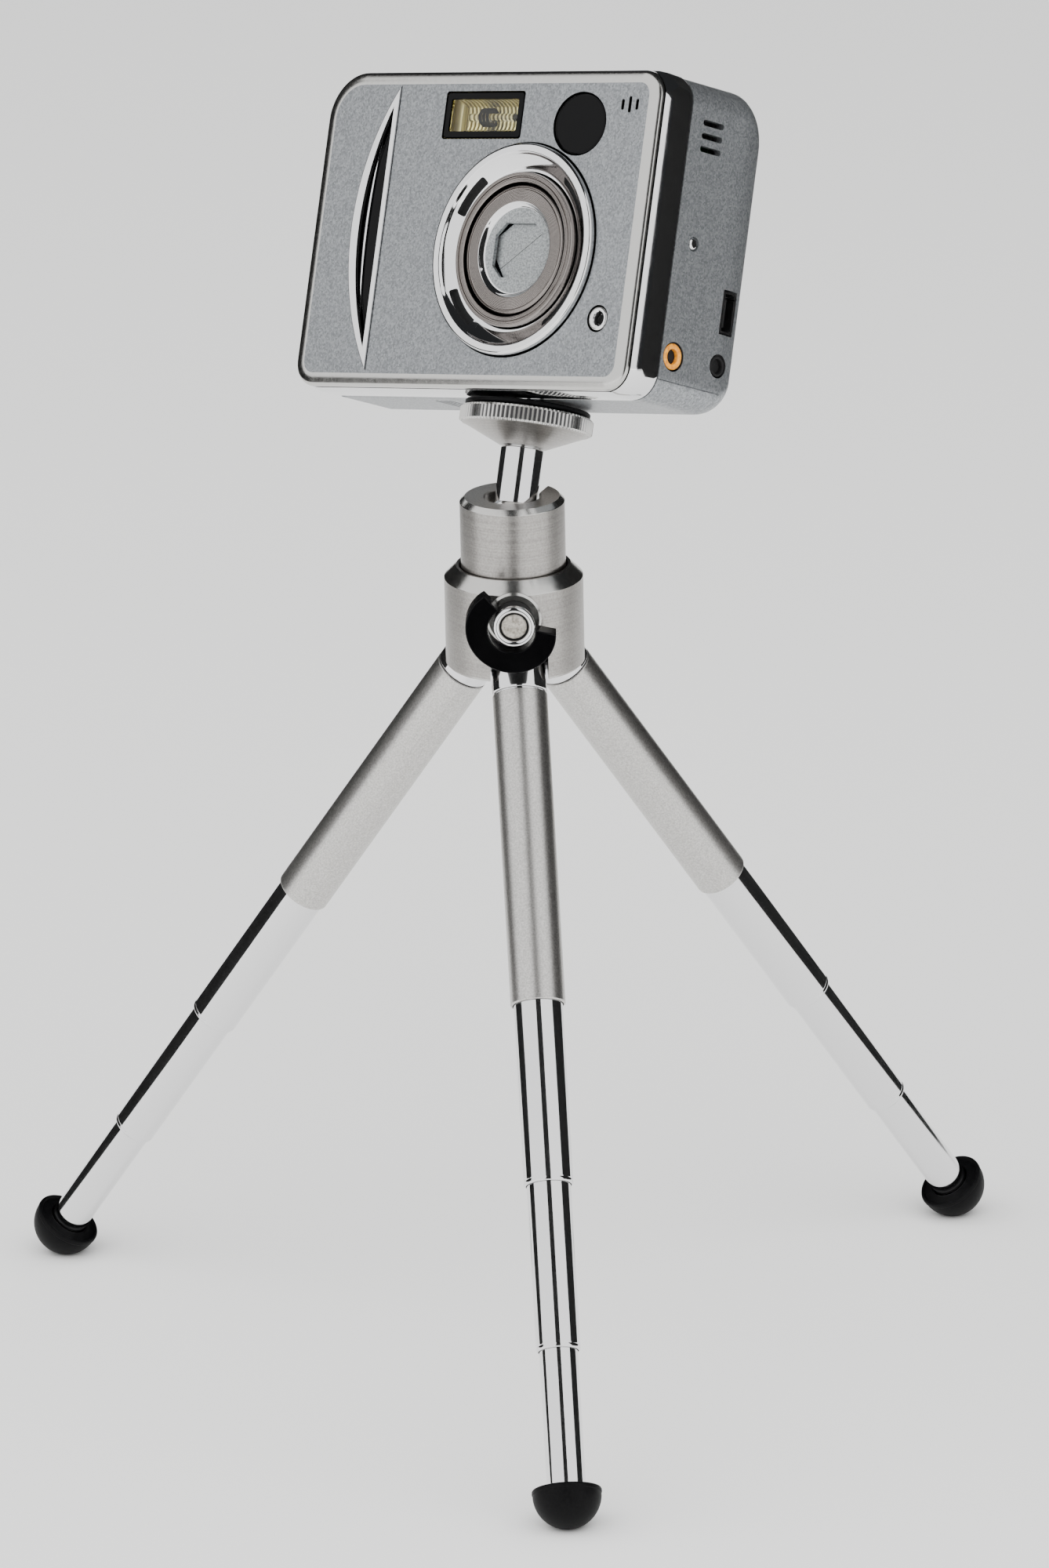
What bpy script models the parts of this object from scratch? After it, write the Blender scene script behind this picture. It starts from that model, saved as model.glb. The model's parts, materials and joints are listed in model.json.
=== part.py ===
"""Compact camera on a telescoping mini tripod with a ball head.

+Z is up and the front leg points to -Y. Sizes below are in millimetres; meshes are made in metres.
The origin is on the floor, at the centre of the object's footprint.
"""
from math import acos, cos, pi, radians, sin, sqrt

import bmesh
import bpy
from mathutils import Matrix, Vector

MM = 0.001

# ---- tripod legs -------------------------------------------------------------------------------
LEG_SPREAD = 35.5            # degrees from upright, legs open against their stop
LEG_NAMES = {"front": -90, "right": 30, "left": 150}
LEG_GAP = 0.2                # between neighbouring knuckles, spread
TUBE_DIAMETERS = (10.0, 9.0, 8.0, 7.0)
TUBE_WALL = 0.35
TUBE_SIDES = 20
OUTER_END = 64.6             # from the pivot to the lower end of the outer tube
EXPOSED = (33.7, 30.7, 26.2) # what shows of each inner section when drawn out
OVERLAP = (14.0, 12.0, 10.0) # what stays inside the tube above
TUBE_TOP = 5.9
LIP = 0.3
PLUG_DEPTH = 6.0
FOOT_RADIUS = 6.3
FOOT_FLAT = 0.3              # height worn off the dome where it stands
FOOT_SOCKET = 3.0            # how far the lowest section goes in
FOOT_LIP = 1.0
PIN_RADIUS = 1.1
PIN_HOLD = 1.2               # pin in the hub at each side of the knuckle
KNUCKLE_SHOULDER = 0.6       # knuckle radius beyond the outer tube's
CLEARANCE = 0.3              # between faces that meet
RUNNING = 0.15               # round a turning or sliding piece

# ---- tripod head -------------------------------------------------------------------------------
COLLAR_OVER_LEGS = 0.2       # collar radius beyond the folded legs
COLLAR_BELOW_PIVOT = 1.9
COLLAR_HEIGHT = 18.9
COLLAR_WALL = 1.5
COLLAR_CHAMFER = 2.2
HUB_TOP_WEB = 1.2            # hub material over the knuckles
CAP_RADIUS = 9.6
CAP_TOP = 12.9               # cap top above the collar's top
CAP_CHAMFER = 0.9
CAP_HOLE_RADIUS = 5.0
BALL_RADIUS = 5.6
BALL_DEPTH = 5.7             # ball centre below the cap's top
STEM_RADIUS = 3.95
SLOT_CLEARANCE = 0.25        # at each side of the stem
CLAMP_AZIMUTH = -94.0
CLAMP_HEIGHT = 12.5          # screw axis above the collar's bottom
CLAMP_SHANK = 1.6
CLAMP_HEAD_RADIUS = 3.8
WING_RADIUS = 9.0
WING_HOLE = 5.2
WING_THICKNESS = 4.0
WING_START, WING_END = 133.0, 347.0
WASHER_RADIUS = 5.0
WASHER_THICKNESS = 0.6

# ---- ball pose and what the stem carries, measured along the stem from the ball's centre -------
PAN = -24.2                  # degrees about +Z
TILT = -25.1                 # degrees about the cap's own +X
SWIVEL = -24.0               # degrees about the stem
STEM_LENGTH = 14.2
THREAD_RADIUS = 3.1
THREAD_LENGTH = 5.0          # into the camera
DISC_RADIUS = 12.25
DISC_CONE = 3.3
DISC_BAND = 3.0
PAD_RADIUS = 11.5
PAD_THICKNESS = 0.9

# ---- camera body, in its own frame: X width, Y depth (front is -Y), Z up, origin at the socket --
BODY_WIDTH = 84.2
BODY_HEIGHT = 60.0
BODY_RIGHT = 36.3            # from the tripod socket to the side with the sockets
FACE_Y = -14.0
COVER_THICKNESS = 1.4
TRIM_DEPTH = 7.0
REAR_Y = 15.4
WALL = 1.5
CORNERS = (9.5, 5.5, 5.5, 5.5)   # top left, top right, bottom right, bottom left
CORNER_STEPS = 5
LENS_X, LENS_Z = 5.0, 26.2
LENS_RING_RADIUS = 19.6
LENS_RING_PROUD = 1.4
BARREL_RADII = (14.3, 12.0)
BARREL_WALL = 1.9
BARREL_LENGTH = 16.5
BLADE_HALF_WIDTH = 5.8
BLADE_HEIGHT = 5.7
BLADE_THICKNESS = 0.5
APERTURE = (11.0, 9.6)
PARTING_ANGLE = 35.0         # the blades' parting line, degrees above the width axis
FLASH_CENTRE = (-7.3, 51.1)
FLASH_SIZE = (19.2, 8.3)
FINDER_CENTRE = (17.0, 49.4)
FINDER_RADII = (6.2, 5.6)
LAMP_CENTRE = (27.6, 13.7)
LAMP_RADIUS = 2.2
MIC_CENTRE = (28.8, 52.9)
MIC_PITCH = 1.75
GRIP_FROM_SIDE = 19.0        # straight edge of the crescent, from the grip side of the body
GRIP_BOTTOM, GRIP_TOP = 3.8, 56.4
GRIP_BULGE = 8.0
LEAF_BULGE = 4.4
SIDE_SLOT_Z = (52.0, 49.6, 47.2)
SIDE_SLOT = (5.6, 1.1)
SIDE_SLOT_Y = 1.0
AV_PLACE, AV_RADIUS = (-1.7, 9.0), 2.4
DC_PLACE, DC_RADIUS = (10.3, 9.4), 1.9
USB_PLACE, USB_SIZE = (11.4, 19.3), (3.4, 7.6)
PORT_DEPTH = 6.0
LCD_CENTRE, LCD_SIZE = (9.0, 28.0), (38.0, 29.0)
ROCKER_FROM_SIDE, ROCKER_Z, ROCKER_SIZE = 15.9, 44.0, (14.0, 6.0)
PAD_FROM_SIDE, PAD_Z, NAV_RADIUS = 16.9, 24.0, 7.5
SHUTTER_FROM_SIDE, SHUTTER_RADIUS = 14.9, 5.0
POWER_FROM_SIDE, POWER_RADIUS = 30.9, 2.6
BUTTON_PROUD = 1.2
DOOR_FROM_SIDE, DOOR_WIDTH = 3.3, 29.0
DOOR_Y = (-3.4, 10.2)
CELL_RADIUS, CELL_LENGTH = 7.2, 50.3
BUSH_RADIUS, BUSH_HEIGHT = 4.4, 6.2

# ---- worked out from the above -----------------------------------------------------------------
SPREAD = radians(LEG_SPREAD)
TUBE_RADIUS = TUBE_DIAMETERS[0] / 2
KNUCKLE_RADIUS = TUBE_RADIUS + KNUCKLE_SHOULDER
PIVOT_RADIUS = (2 * TUBE_RADIUS + LEG_GAP) / sqrt(3) + KNUCKLE_RADIUS * sin(SPREAD) / 2
COLLAR_RADIUS = PIVOT_RADIUS + TUBE_RADIUS + COLLAR_OVER_LEGS
SLOT_WIDTH = 2 * (STEM_RADIUS + SLOT_CLEARANCE)
ENDS = [OUTER_END]
for exposed in EXPOSED:
    ENDS.append(ENDS[-1] + exposed)
PIVOT_Z = ENDS[3] * cos(SPREAD) + FOOT_RADIUS - FOOT_FLAT
COLLAR_BOTTOM = PIVOT_Z - COLLAR_BELOW_PIVOT
COLLAR_TOP = COLLAR_BOTTOM + COLLAR_HEIGHT
NOTCH_RADIUS = KNUCKLE_RADIUS + CLEARANCE
NOTCH_HALF = TUBE_RADIUS + CLEARANCE
PIN_HALF = NOTCH_HALF + PIN_HOLD
HUB_TOP = PIVOT_Z + NOTCH_RADIUS + HUB_TOP_WEB
CAP_BOTTOM = HUB_TOP + 2 * CLEARANCE
CAP_RIM = COLLAR_TOP + CAP_TOP
BALL_Z = CAP_RIM - BALL_DEPTH
CAP_BORE = BALL_RADIUS + CLEARANCE
CLAMP_Z = COLLAR_BOTTOM + CLAMP_HEIGHT
DISC_BOTTOM = STEM_LENGTH + CLEARANCE
DISC_TOP = DISC_BOTTOM + DISC_CONE + DISC_BAND
PAD_BOTTOM = DISC_TOP + CLEARANCE
SOCKET_S = PAD_BOTTOM + PAD_THICKNESS + CLEARANCE
BODY_LEFT = BODY_RIGHT - BODY_WIDTH
GRIP_X = BODY_LEFT + GRIP_FROM_SIDE
DOOR_X = (BODY_LEFT + DOOR_FROM_SIDE, BODY_LEFT + DOOR_FROM_SIDE + DOOR_WIDTH)
SHUTTER_X = BODY_LEFT + SHUTTER_FROM_SIDE
POWER_X = BODY_LEFT + POWER_FROM_SIDE
ROCKER_CENTRE = (BODY_LEFT + ROCKER_FROM_SIDE, ROCKER_Z)
PAD_CENTRE = (BODY_LEFT + PAD_FROM_SIDE, PAD_Z)
COVER_BACK = FACE_Y + COVER_THICKNESS
TRIM_FRONT = COVER_BACK + CLEARANCE
TRIM_BACK = TRIM_FRONT + TRIM_DEPTH
REAR_FRONT = TRIM_BACK + CLEARANCE


# ---- helpers -----------------------------------------------------------------------------------
def material(name, colour, roughness, metallic=0.0):
    made = bpy.data.materials.new(name)
    made.use_nodes = True
    shader = made.node_tree.nodes["Principled BSDF"]
    shader.inputs["Base Color"].default_value = (*colour, 1)
    shader.inputs["Roughness"].default_value = roughness
    shader.inputs["Metallic"].default_value = metallic
    made.diffuse_color = (*colour, 1)
    return made


def empty(name, parent, matrix):
    """A frame in metres under its parent, from a matrix in millimetres."""
    made = bpy.data.objects.new(name, None)
    bpy.context.collection.objects.link(made)
    made.parent = parent
    made.matrix_basis = Matrix.Translation(matrix.to_translation() * MM) @ matrix.to_3x3().to_4x4()
    made.empty_display_size = 0.01
    return made


def solid(name, bm, look, parent=None, origin=(0, 0, 0)):
    """Turn a bmesh in millimetres into an object whose origin is at the given point."""
    bmesh.ops.remove_doubles(bm, verts=bm.verts, dist=1e-4)
    loose = [edge for edge in bm.edges if not edge.link_faces]
    bmesh.ops.delete(bm, geom=loose, context="EDGES")
    bmesh.ops.recalc_face_normals(bm, faces=bm.faces)
    bmesh.ops.translate(bm, verts=bm.verts, vec=-Vector(origin))
    bmesh.ops.scale(bm, verts=bm.verts, vec=(MM, MM, MM))
    mesh = bpy.data.meshes.new(name)
    bm.to_mesh(mesh)
    bm.free()
    mesh.shade_smooth()
    mesh.set_sharp_from_angle(angle=radians(30))
    made = bpy.data.objects.new(name, mesh)
    bpy.context.collection.objects.link(made)
    made.location = Vector(origin) * MM
    made.parent = parent
    if look:
        mesh.materials.append(look)
    return made


def cut(target, cutter, operation="DIFFERENCE"):
    cutter.hide_render = True
    cutter.display_type = "WIRE"
    boolean = target.modifiers.new("cut", "BOOLEAN")
    boolean.object = cutter
    boolean.operation = operation
    boolean.solver = "EXACT"


def turn(bm, profile, sides, closed=False, place=Matrix()):
    """Spin a profile of (radius, height) points about Z, then move it to its place."""
    verts = [bm.verts.new((radius, 0, height)) for radius, height in profile]
    edges = [bm.edges.new(pair) for pair in zip(verts, verts[1:])]
    if closed:
        edges.append(bm.edges.new((verts[-1], verts[0])))
    before = set(bm.verts) - set(verts)
    bmesh.ops.spin(bm, geom=verts + edges, cent=(0, 0, 0), axis=(0, 0, 1), dvec=(0, 0, 0),
                   angle=2 * pi, steps=sides, use_merge=True)
    fresh = [vert for vert in bm.verts if vert not in before]
    bmesh.ops.transform(bm, matrix=place, verts=fresh)
    return bm


def turned(profile, sides, closed=False, place=Matrix()):
    return turn(bmesh.new(), profile, sides, closed, place)


def tube_profile(outer, inner, low, high):
    return [(outer, high), (outer, low), (inner, low), (inner, high)]


def rod_profile(radius, low, high):
    return [(0, high), (radius, high), (radius, low), (0, low)]


def skin(bm, rings, loop=False):
    """Join rings of equal count with quads; the two ends are capped unless the rings loop round."""
    made = [[bm.verts.new(point) for point in ring] for ring in rings]
    count = len(made[0])
    pairs = list(zip(made, made[1:]))
    if loop:
        pairs.append((made[-1], made[0]))
    for one, two in pairs:
        for i in range(count):
            j = (i + 1) % count
            bm.faces.new((one[i], one[j], two[j], two[i]))
    if not loop:
        bm.faces.new(made[0])
        bm.faces.new(made[-1])
    return bm


def prism_y(bm, outline, front, back):
    """An outline of (x, z) points drawn out along Y."""
    return skin(bm, [[(x, y, z) for x, z in outline] for y in (front, back)])


def box(bm, x, y, z):
    return prism_y(bm, [(x[0], z[0]), (x[1], z[0]), (x[1], z[1]), (x[0], z[1])], y[0], y[1])


def ellipse(centre, radii, sides):
    return [(centre[0] + radii[0] * cos(2 * pi * i / sides), centre[1] + radii[1] * sin(2 * pi * i / sides))
            for i in range(sides)]


def rounded(left, right, bottom, top, radii, steps=CORNER_STEPS):
    """Rounded rectangle from the top left corner clockwise; radii in the same order."""
    corners = ((left, top, 1, -1, 180), (right, top, -1, -1, 90),
               (right, bottom, -1, 1, 0), (left, bottom, 1, 1, -90))
    points = []
    for (x, z, dx, dz, start), radius in zip(corners, radii):
        for i in range(steps + 1):
            angle = radians(start - 90 * i / steps)
            points.append((x + dx * radius + radius * cos(angle), z + dz * radius + radius * sin(angle)))
    return points


def rectangle(centre, size, radius=0.6, grow=0.0, steps=3):
    half_x, half_z = size[0] / 2 + grow, size[1] / 2 + grow
    return rounded(centre[0] - half_x, centre[0] + half_x, centre[1] - half_z, centre[1] + half_z,
                   [radius] * 4, steps)


def body_ring(y, inset, top=None, bottom=None):
    """The body's outline at a depth, drawn in by an inset, with its own inset at top and bottom."""
    top = inset if top is None else top
    bottom = inset if bottom is None else bottom
    radii = [max(radius - inset, 0.8) for radius in CORNERS]
    outline = rounded(BODY_LEFT + inset, BODY_RIGHT - inset, bottom, BODY_HEIGHT - top, radii)
    return [(x, y, z) for x, z in outline]


def along_y(x, z, y=0.0):
    """Place for a shape turned about Z so that its own +Z points to the camera's front, -Y."""
    return Matrix.Translation((x, y, z)) @ Matrix.Rotation(pi / 2, 4, "X")


def along_x(x, y, z):
    """Place for a shape turned about Z so that its own +Z points to +X."""
    return Matrix.Translation((x, y, z)) @ Matrix.Rotation(pi / 2, 4, "Y")


def crescent(bulge, grow=0.0, steps=14, low=GRIP_BOTTOM, high=GRIP_TOP, edge=GRIP_X):
    """A straight right edge and an arc that bulges to the left, both moved out by the growth."""
    half = (high - low) / 2
    radius = (half * half + bulge * bulge) / (2 * bulge)
    centre = edge - bulge + radius
    middle = (high + low) / 2
    reach = acos((centre - edge - grow) / (radius + grow))
    angles = [pi - reach + 2 * reach * i / steps for i in range(steps + 1)]
    return [(centre + (radius + grow) * cos(angle), middle + (radius + grow) * sin(angle))
            for angle in angles]


# ---- tripod ------------------------------------------------------------------------------------
def stadium_x(bm, radius, half, down):
    """Half a cylinder about X on top of a block that reaches down."""
    outline = [(radius * cos(pi * i / 12), radius * sin(pi * i / 12)) for i in range(13)]
    outline += [(-radius, -down), (radius, -down)]
    return skin(bm, [[(x, y, z) for y, z in outline] for x in (-half, half)])


def make_leg(name, azimuth, root, looks):
    place = (Matrix.Rotation(radians(azimuth), 4, "Z") @ Matrix.Translation((PIVOT_RADIUS, 0, PIVOT_Z))
             @ Matrix.Rotation(pi / 2, 4, "Z"))
    seat = empty(f"leg_{name}_seat", root, place)
    notch = solid(f"cut_notch_{name}", turned(rod_profile(NOTCH_RADIUS, -NOTCH_HALF, NOTCH_HALF), 32,
                  place=Matrix.Rotation(pi / 2, 4, "Y")), None, seat)
    bore = solid(f"cut_pin_{name}", turned(rod_profile(PIN_RADIUS + RUNNING, -COLLAR_RADIUS,
                 COLLAR_RADIUS), 12, place=Matrix.Rotation(pi / 2, 4, "Y")), None, seat)
    solid(f"leg_pin_{name}", turned(rod_profile(PIN_RADIUS, -PIN_HALF, PIN_HALF), 12,
          place=Matrix.Rotation(pi / 2, 4, "Y")), looks["steel"], seat)

    leg = empty(f"leg_{name}_pivot", seat, Matrix.Rotation(-SPREAD, 4, "X"))
    outer, *inner = [diameter / 2 for diameter in TUBE_DIAMETERS]
    bore_radius = outer - TUBE_WALL
    plug_profile = [(0, KNUCKLE_RADIUS + 1), (outer, KNUCKLE_RADIUS + 1), (outer, -TUBE_TOP + CLEARANCE),
                    (bore_radius - RUNNING, -TUBE_TOP + CLEARANCE),
                    (bore_radius - RUNNING, -TUBE_TOP - PLUG_DEPTH), (0, -TUBE_TOP - PLUG_DEPTH)]
    plug = solid(f"leg_plug_{name}", turned(plug_profile, TUBE_SIDES), looks["chrome"], leg)
    dome = solid(f"cut_knuckle_{name}", stadium_x(bmesh.new(), KNUCKLE_RADIUS, outer + 1, TUBE_TOP + 10),
                 None, leg)
    cut(plug, dome, "INTERSECT")
    cut(plug, bore)

    lip = (bore_radius, -OUTER_END), (outer - LIP, -OUTER_END), (outer, -OUTER_END + LIP)
    profile = [(bore_radius, -TUBE_TOP), (outer, -TUBE_TOP), lip[2], lip[1], lip[0]]
    solid(f"leg_tube_{name}", turned(profile, TUBE_SIDES, closed=True), looks["satin"], leg)
    names = ("second", "third", "fourth")
    for i, (section, radius) in enumerate(zip(names, inner)):
        top = -(ENDS[i] - OVERLAP[i])
        low = -ENDS[i + 1] - (FOOT_SOCKET if section == "fourth" else 0.0)
        profile = [(radius - TUBE_WALL, top), (radius, top), (radius, low + LIP), (radius - LIP, low),
                   (radius - TUBE_WALL, low)]
        solid(f"leg_{section}_{name}", turned(profile, TUBE_SIDES, closed=True), looks["chrome"], leg)
    make_foot(name, leg, looks)
    return notch, bore


def make_foot(name, leg, looks):
    """A rubber dome on the lowest section, cut flat where it meets the floor."""
    socket = TUBE_DIAMETERS[3] / 2 + RUNNING
    rim = -ENDS[3]
    arc = [(FOOT_RADIUS * cos(radians(a)), rim - FOOT_RADIUS * sin(radians(a))) for a in range(0, 90, 15)]
    floor_of_socket = rim - FOOT_SOCKET - CLEARANCE
    profile = [(0, floor_of_socket), (socket, floor_of_socket), (socket, rim + FOOT_LIP),
               (FOOT_RADIUS - 0.5, rim + FOOT_LIP)] + arc + [(0, rim - FOOT_RADIUS)]
    bm = turned(profile, TUBE_SIDES)
    normal = Matrix.Rotation(SPREAD, 3, "X") @ Vector((0, 0, -1))
    floor = Matrix.Rotation(SPREAD, 3, "X") @ Vector((0, 0, -PIVOT_Z))
    bmesh.ops.remove_doubles(bm, verts=bm.verts, dist=1e-4)
    cutaway = bmesh.ops.bisect_plane(bm, geom=bm.verts[:] + bm.edges[:] + bm.faces[:], plane_co=floor,
                                     plane_no=normal, clear_outer=True)
    rim_edges = [item for item in cutaway["geom_cut"] if isinstance(item, bmesh.types.BMEdge)]
    bmesh.ops.holes_fill(bm, edges=rim_edges, sides=0)
    solid(f"foot_{name}", bm, looks["rubber"], leg)


def make_head(root, notches, bores, looks):
    inside = COLLAR_RADIUS - COLLAR_WALL
    cap_bore = CAP_RADIUS + CLEARANCE
    profile = [(inside, COLLAR_BOTTOM), (inside, HUB_TOP + CLEARANCE), (cap_bore, HUB_TOP + CLEARANCE),
               (cap_bore, COLLAR_TOP), (COLLAR_RADIUS - COLLAR_CHAMFER, COLLAR_TOP),
               (COLLAR_RADIUS, COLLAR_TOP - COLLAR_CHAMFER), (COLLAR_RADIUS, COLLAR_BOTTOM)]
    collar = solid("collar", turned(profile, 48, closed=True), looks["aluminium"], root)
    hub = solid("leg_hub", turned(rod_profile(inside - CLEARANCE, COLLAR_BOTTOM + CLEARANCE, HUB_TOP), 32),
                looks["steel"], root)
    for notch in notches:
        cut(collar, notch)
        cut(hub, notch)
    for bore in bores:
        cut(hub, bore)

    clamp = empty("clamp_axis", root, Matrix.Rotation(radians(CLAMP_AZIMUTH), 4, "Z")
                  @ along_x(0, 0, CLAMP_Z))
    hole = solid("cut_clamp_hole", turned(rod_profile(CLAMP_SHANK + CLEARANCE, 8, COLLAR_RADIUS + 2), 16),
                 None, clamp)
    cut(collar, hole)
    washer_back = COLLAR_RADIUS + CLEARANCE
    washer_front = washer_back + WASHER_THICKNESS
    solid("clamp_washer", turned(tube_profile(WASHER_RADIUS, CLAMP_SHANK + CLEARANCE, washer_back,
          washer_front), 24, closed=True), looks["steel"], clamp)
    back = washer_front + CLEARANCE
    front = back + WING_THICKNESS
    head = CLAMP_HEAD_RADIUS
    profile = [(0, front), (head - 1.1, front), (head - 1.0, front + 0.5), (head - 0.3, front + 0.5),
               (head, front + 0.2), (head, back), (CLAMP_SHANK, back), (CLAMP_SHANK, cap_bore + CLEARANCE),
               (0, cap_bore + CLEARANCE)]
    solid("clamp_screw", turned(profile, 24), looks["chrome"], clamp)
    solid("clamp_wing", make_wing(back, front - 0.3), looks["black"], clamp)
    return make_cap(root, looks)


def make_wing(back, front):
    """A crescent about the clamp screw; its two tips close in on the screw's head."""
    steps = 20
    span = WING_END - WING_START
    gap = CLAMP_HEAD_RADIUS + RUNNING
    outer, inner = [], []
    for i in range(steps + 1):
        share = i / steps
        angle = radians(WING_START + span * share)
        swell = sin(pi * share)
        radius = WING_RADIUS - 1.2 * (1 - swell) ** 2
        hollow = gap + (WING_HOLE - gap) * swell
        outer.append((radius * cos(angle), radius * sin(angle)))
        inner.append((hollow * cos(angle), hollow * sin(angle)))
    outline = outer + inner[::-1]
    turn_up = Matrix.Rotation(pi / 2, 3, "Z")
    rings = [[tuple(turn_up @ Vector((x, y, z))) for x, y in outline] for z in (back, front)]
    return skin(bmesh.new(), rings)


def make_cap(root, looks):
    pan = empty("head_pan_axis", root, Matrix.Rotation(radians(PAN), 4, "Z"))
    lip = acos(CAP_HOLE_RADIUS / CAP_BORE)
    dome = [(CAP_BORE * cos(lip * i / 4), BALL_Z + CAP_BORE * sin(lip * i / 4)) for i in range(5)]
    profile = [(CAP_BORE, CAP_BOTTOM)] + dome + [
        (CAP_HOLE_RADIUS, CAP_RIM), (CAP_RADIUS - CAP_CHAMFER, CAP_RIM),
        (CAP_RADIUS, CAP_RIM - CAP_CHAMFER), (CAP_RADIUS, CAP_BOTTOM)]
    cap = solid("ball_cap", turned(profile, 48, closed=True), looks["aluminium"], pan)
    half = SLOT_WIDTH / 2
    outline = [(half * cos(pi * i / 10), BALL_Z - half * sin(pi * i / 10)) for i in range(11)]
    outline += [(-half, CAP_RIM + 2), (half, CAP_RIM + 2)]
    slot = solid("cut_slot", prism_y(bmesh.new(), outline, 0.0, CAP_RADIUS + 2), None, pan)
    cut(cap, slot)
    cup = BALL_RADIUS + CLEARANCE
    edge = acos((SLOT_WIDTH / 2 + CLEARANCE) / cup)
    arc = [(cup * sin(edge * i / 4), BALL_Z - cup * cos(edge * i / 4)) for i in range(5)]
    seat_radius = CAP_BORE - CLEARANCE
    profile = arc + [(seat_radius, arc[-1][1]), (seat_radius, CAP_BOTTOM + CLEARANCE),
                     (0, CAP_BOTTOM + CLEARANCE)]
    solid("ball_seat", turned(profile, 24), looks["steel"], pan)

    tilt = empty("ball_tilt_axis", pan, Matrix.Translation((0, 0, BALL_Z))
                 @ Matrix.Rotation(radians(TILT), 4, "X"))
    neck = acos(STEM_RADIUS / BALL_RADIUS)
    arc = [(BALL_RADIUS * cos(a), BALL_RADIUS * sin(a))
           for a in [neck - (neck + pi / 2) * i / 8 for i in range(9)]]
    tip = SOCKET_S + THREAD_LENGTH
    profile = [(0, tip), (THREAD_RADIUS - 0.5, tip), (THREAD_RADIUS, tip - 0.5),
               (THREAD_RADIUS, STEM_LENGTH), (STEM_RADIUS, STEM_LENGTH)] + arc[:-1] + [(0, -BALL_RADIUS)]
    solid("ball_stem", turned(profile, 24), looks["chrome"], tilt)
    bore = THREAD_RADIUS + RUNNING
    shoulder = DISC_BOTTOM + DISC_CONE
    profile = [(bore, DISC_BOTTOM), (STEM_RADIUS + 0.6, DISC_BOTTOM), (DISC_RADIUS - 0.9, shoulder),
               (DISC_RADIUS, shoulder + 0.2), (DISC_RADIUS, DISC_TOP - 0.2), (DISC_RADIUS - 0.3, DISC_TOP),
               (bore, DISC_TOP)]
    solid("platform_disc", turned(profile, 40, closed=True), looks["aluminium"], tilt)
    solid("disc_pad", turned(tube_profile(PAD_RADIUS, bore, PAD_BOTTOM, PAD_BOTTOM + PAD_THICKNESS), 32,
          closed=True), looks["rubber"], tilt)
    return empty("camera_frame", tilt, Matrix.Rotation(radians(SWIVEL), 4, "Z")
                 @ Matrix.Translation((0, 0, SOCKET_S)))


# ---- camera ------------------------------------------------------------------------------------
def make_covers(frame, looks):
    back_cap = body_ring(COVER_BACK, 0.6)
    front = [body_ring(FACE_Y + 1.0, 0.6), body_ring(FACE_Y + 0.45, 0.9), body_ring(FACE_Y + 0.12, 1.7),
             body_ring(FACE_Y, 3.0)]
    cover = solid("front_cover", skin(bmesh.new(), [back_cap] + front), looks["paint"], frame)
    through = (FACE_Y - 1, COVER_BACK + 1)
    openings = bmesh.new()
    prism_y(openings, ellipse((LENS_X, LENS_Z), [LENS_RING_RADIUS + CLEARANCE] * 2, 40), *through)
    prism_y(openings, rectangle(FLASH_CENTRE, FLASH_SIZE, grow=CLEARANCE), *through)
    prism_y(openings, ellipse(FINDER_CENTRE, [radius + CLEARANCE for radius in FINDER_RADII], 24), *through)
    prism_y(openings, ellipse(LAMP_CENTRE, [LAMP_RADIUS + CLEARANCE] * 2, 16), *through)
    prism_y(openings, crescent(GRIP_BULGE, CLEARANCE), *through)
    for i, length in zip((-1, 0, 1), (2.0, 3.0, 2.0)):
        centre = (MIC_CENTRE[0] + i * MIC_PITCH, MIC_CENTRE[1])
        prism_y(openings, rectangle(centre, (0.7, length), 0.3, steps=2), *through)
    cut(cover, solid("cut_cover", openings, None, frame))

    outer = [body_ring(TRIM_FRONT, 0.6), body_ring(TRIM_FRONT + 1.0, 0.1), body_ring(TRIM_BACK - 1.0, 0.1),
             body_ring(TRIM_BACK, 0.4)]
    inner = [body_ring(TRIM_BACK, 0.4 + WALL), body_ring(TRIM_FRONT, 0.4 + WALL)]
    solid("trim_band", skin(bmesh.new(), outer + inner, loop=True), looks["chrome"], frame)

    outer = [body_ring(REAR_Y, 1.8, top=7.5, bottom=3.4), body_ring(REAR_Y - 0.9, 0.8, top=4.2, bottom=1.6),
             body_ring(REAR_Y - 3.2, 0.4, top=1.6, bottom=0.6), body_ring(REAR_Y - 6.0, 0.4),
             body_ring(REAR_FRONT, 0.4)]
    inner = [body_ring(REAR_FRONT, 0.4 + WALL), body_ring(REAR_Y - 6.0, 0.4 + WALL),
             body_ring(REAR_Y - WALL - 1.6, 2.2, top=4.4, bottom=2.3),
             body_ring(REAR_Y - WALL, 3.6, top=8.2, bottom=4.4)]
    rear = solid("rear_cover", skin(bmesh.new(), outer + inner), looks["paint"], frame)
    cut(rear, solid("cut_rear", rear_openings(), None, frame))


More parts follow.
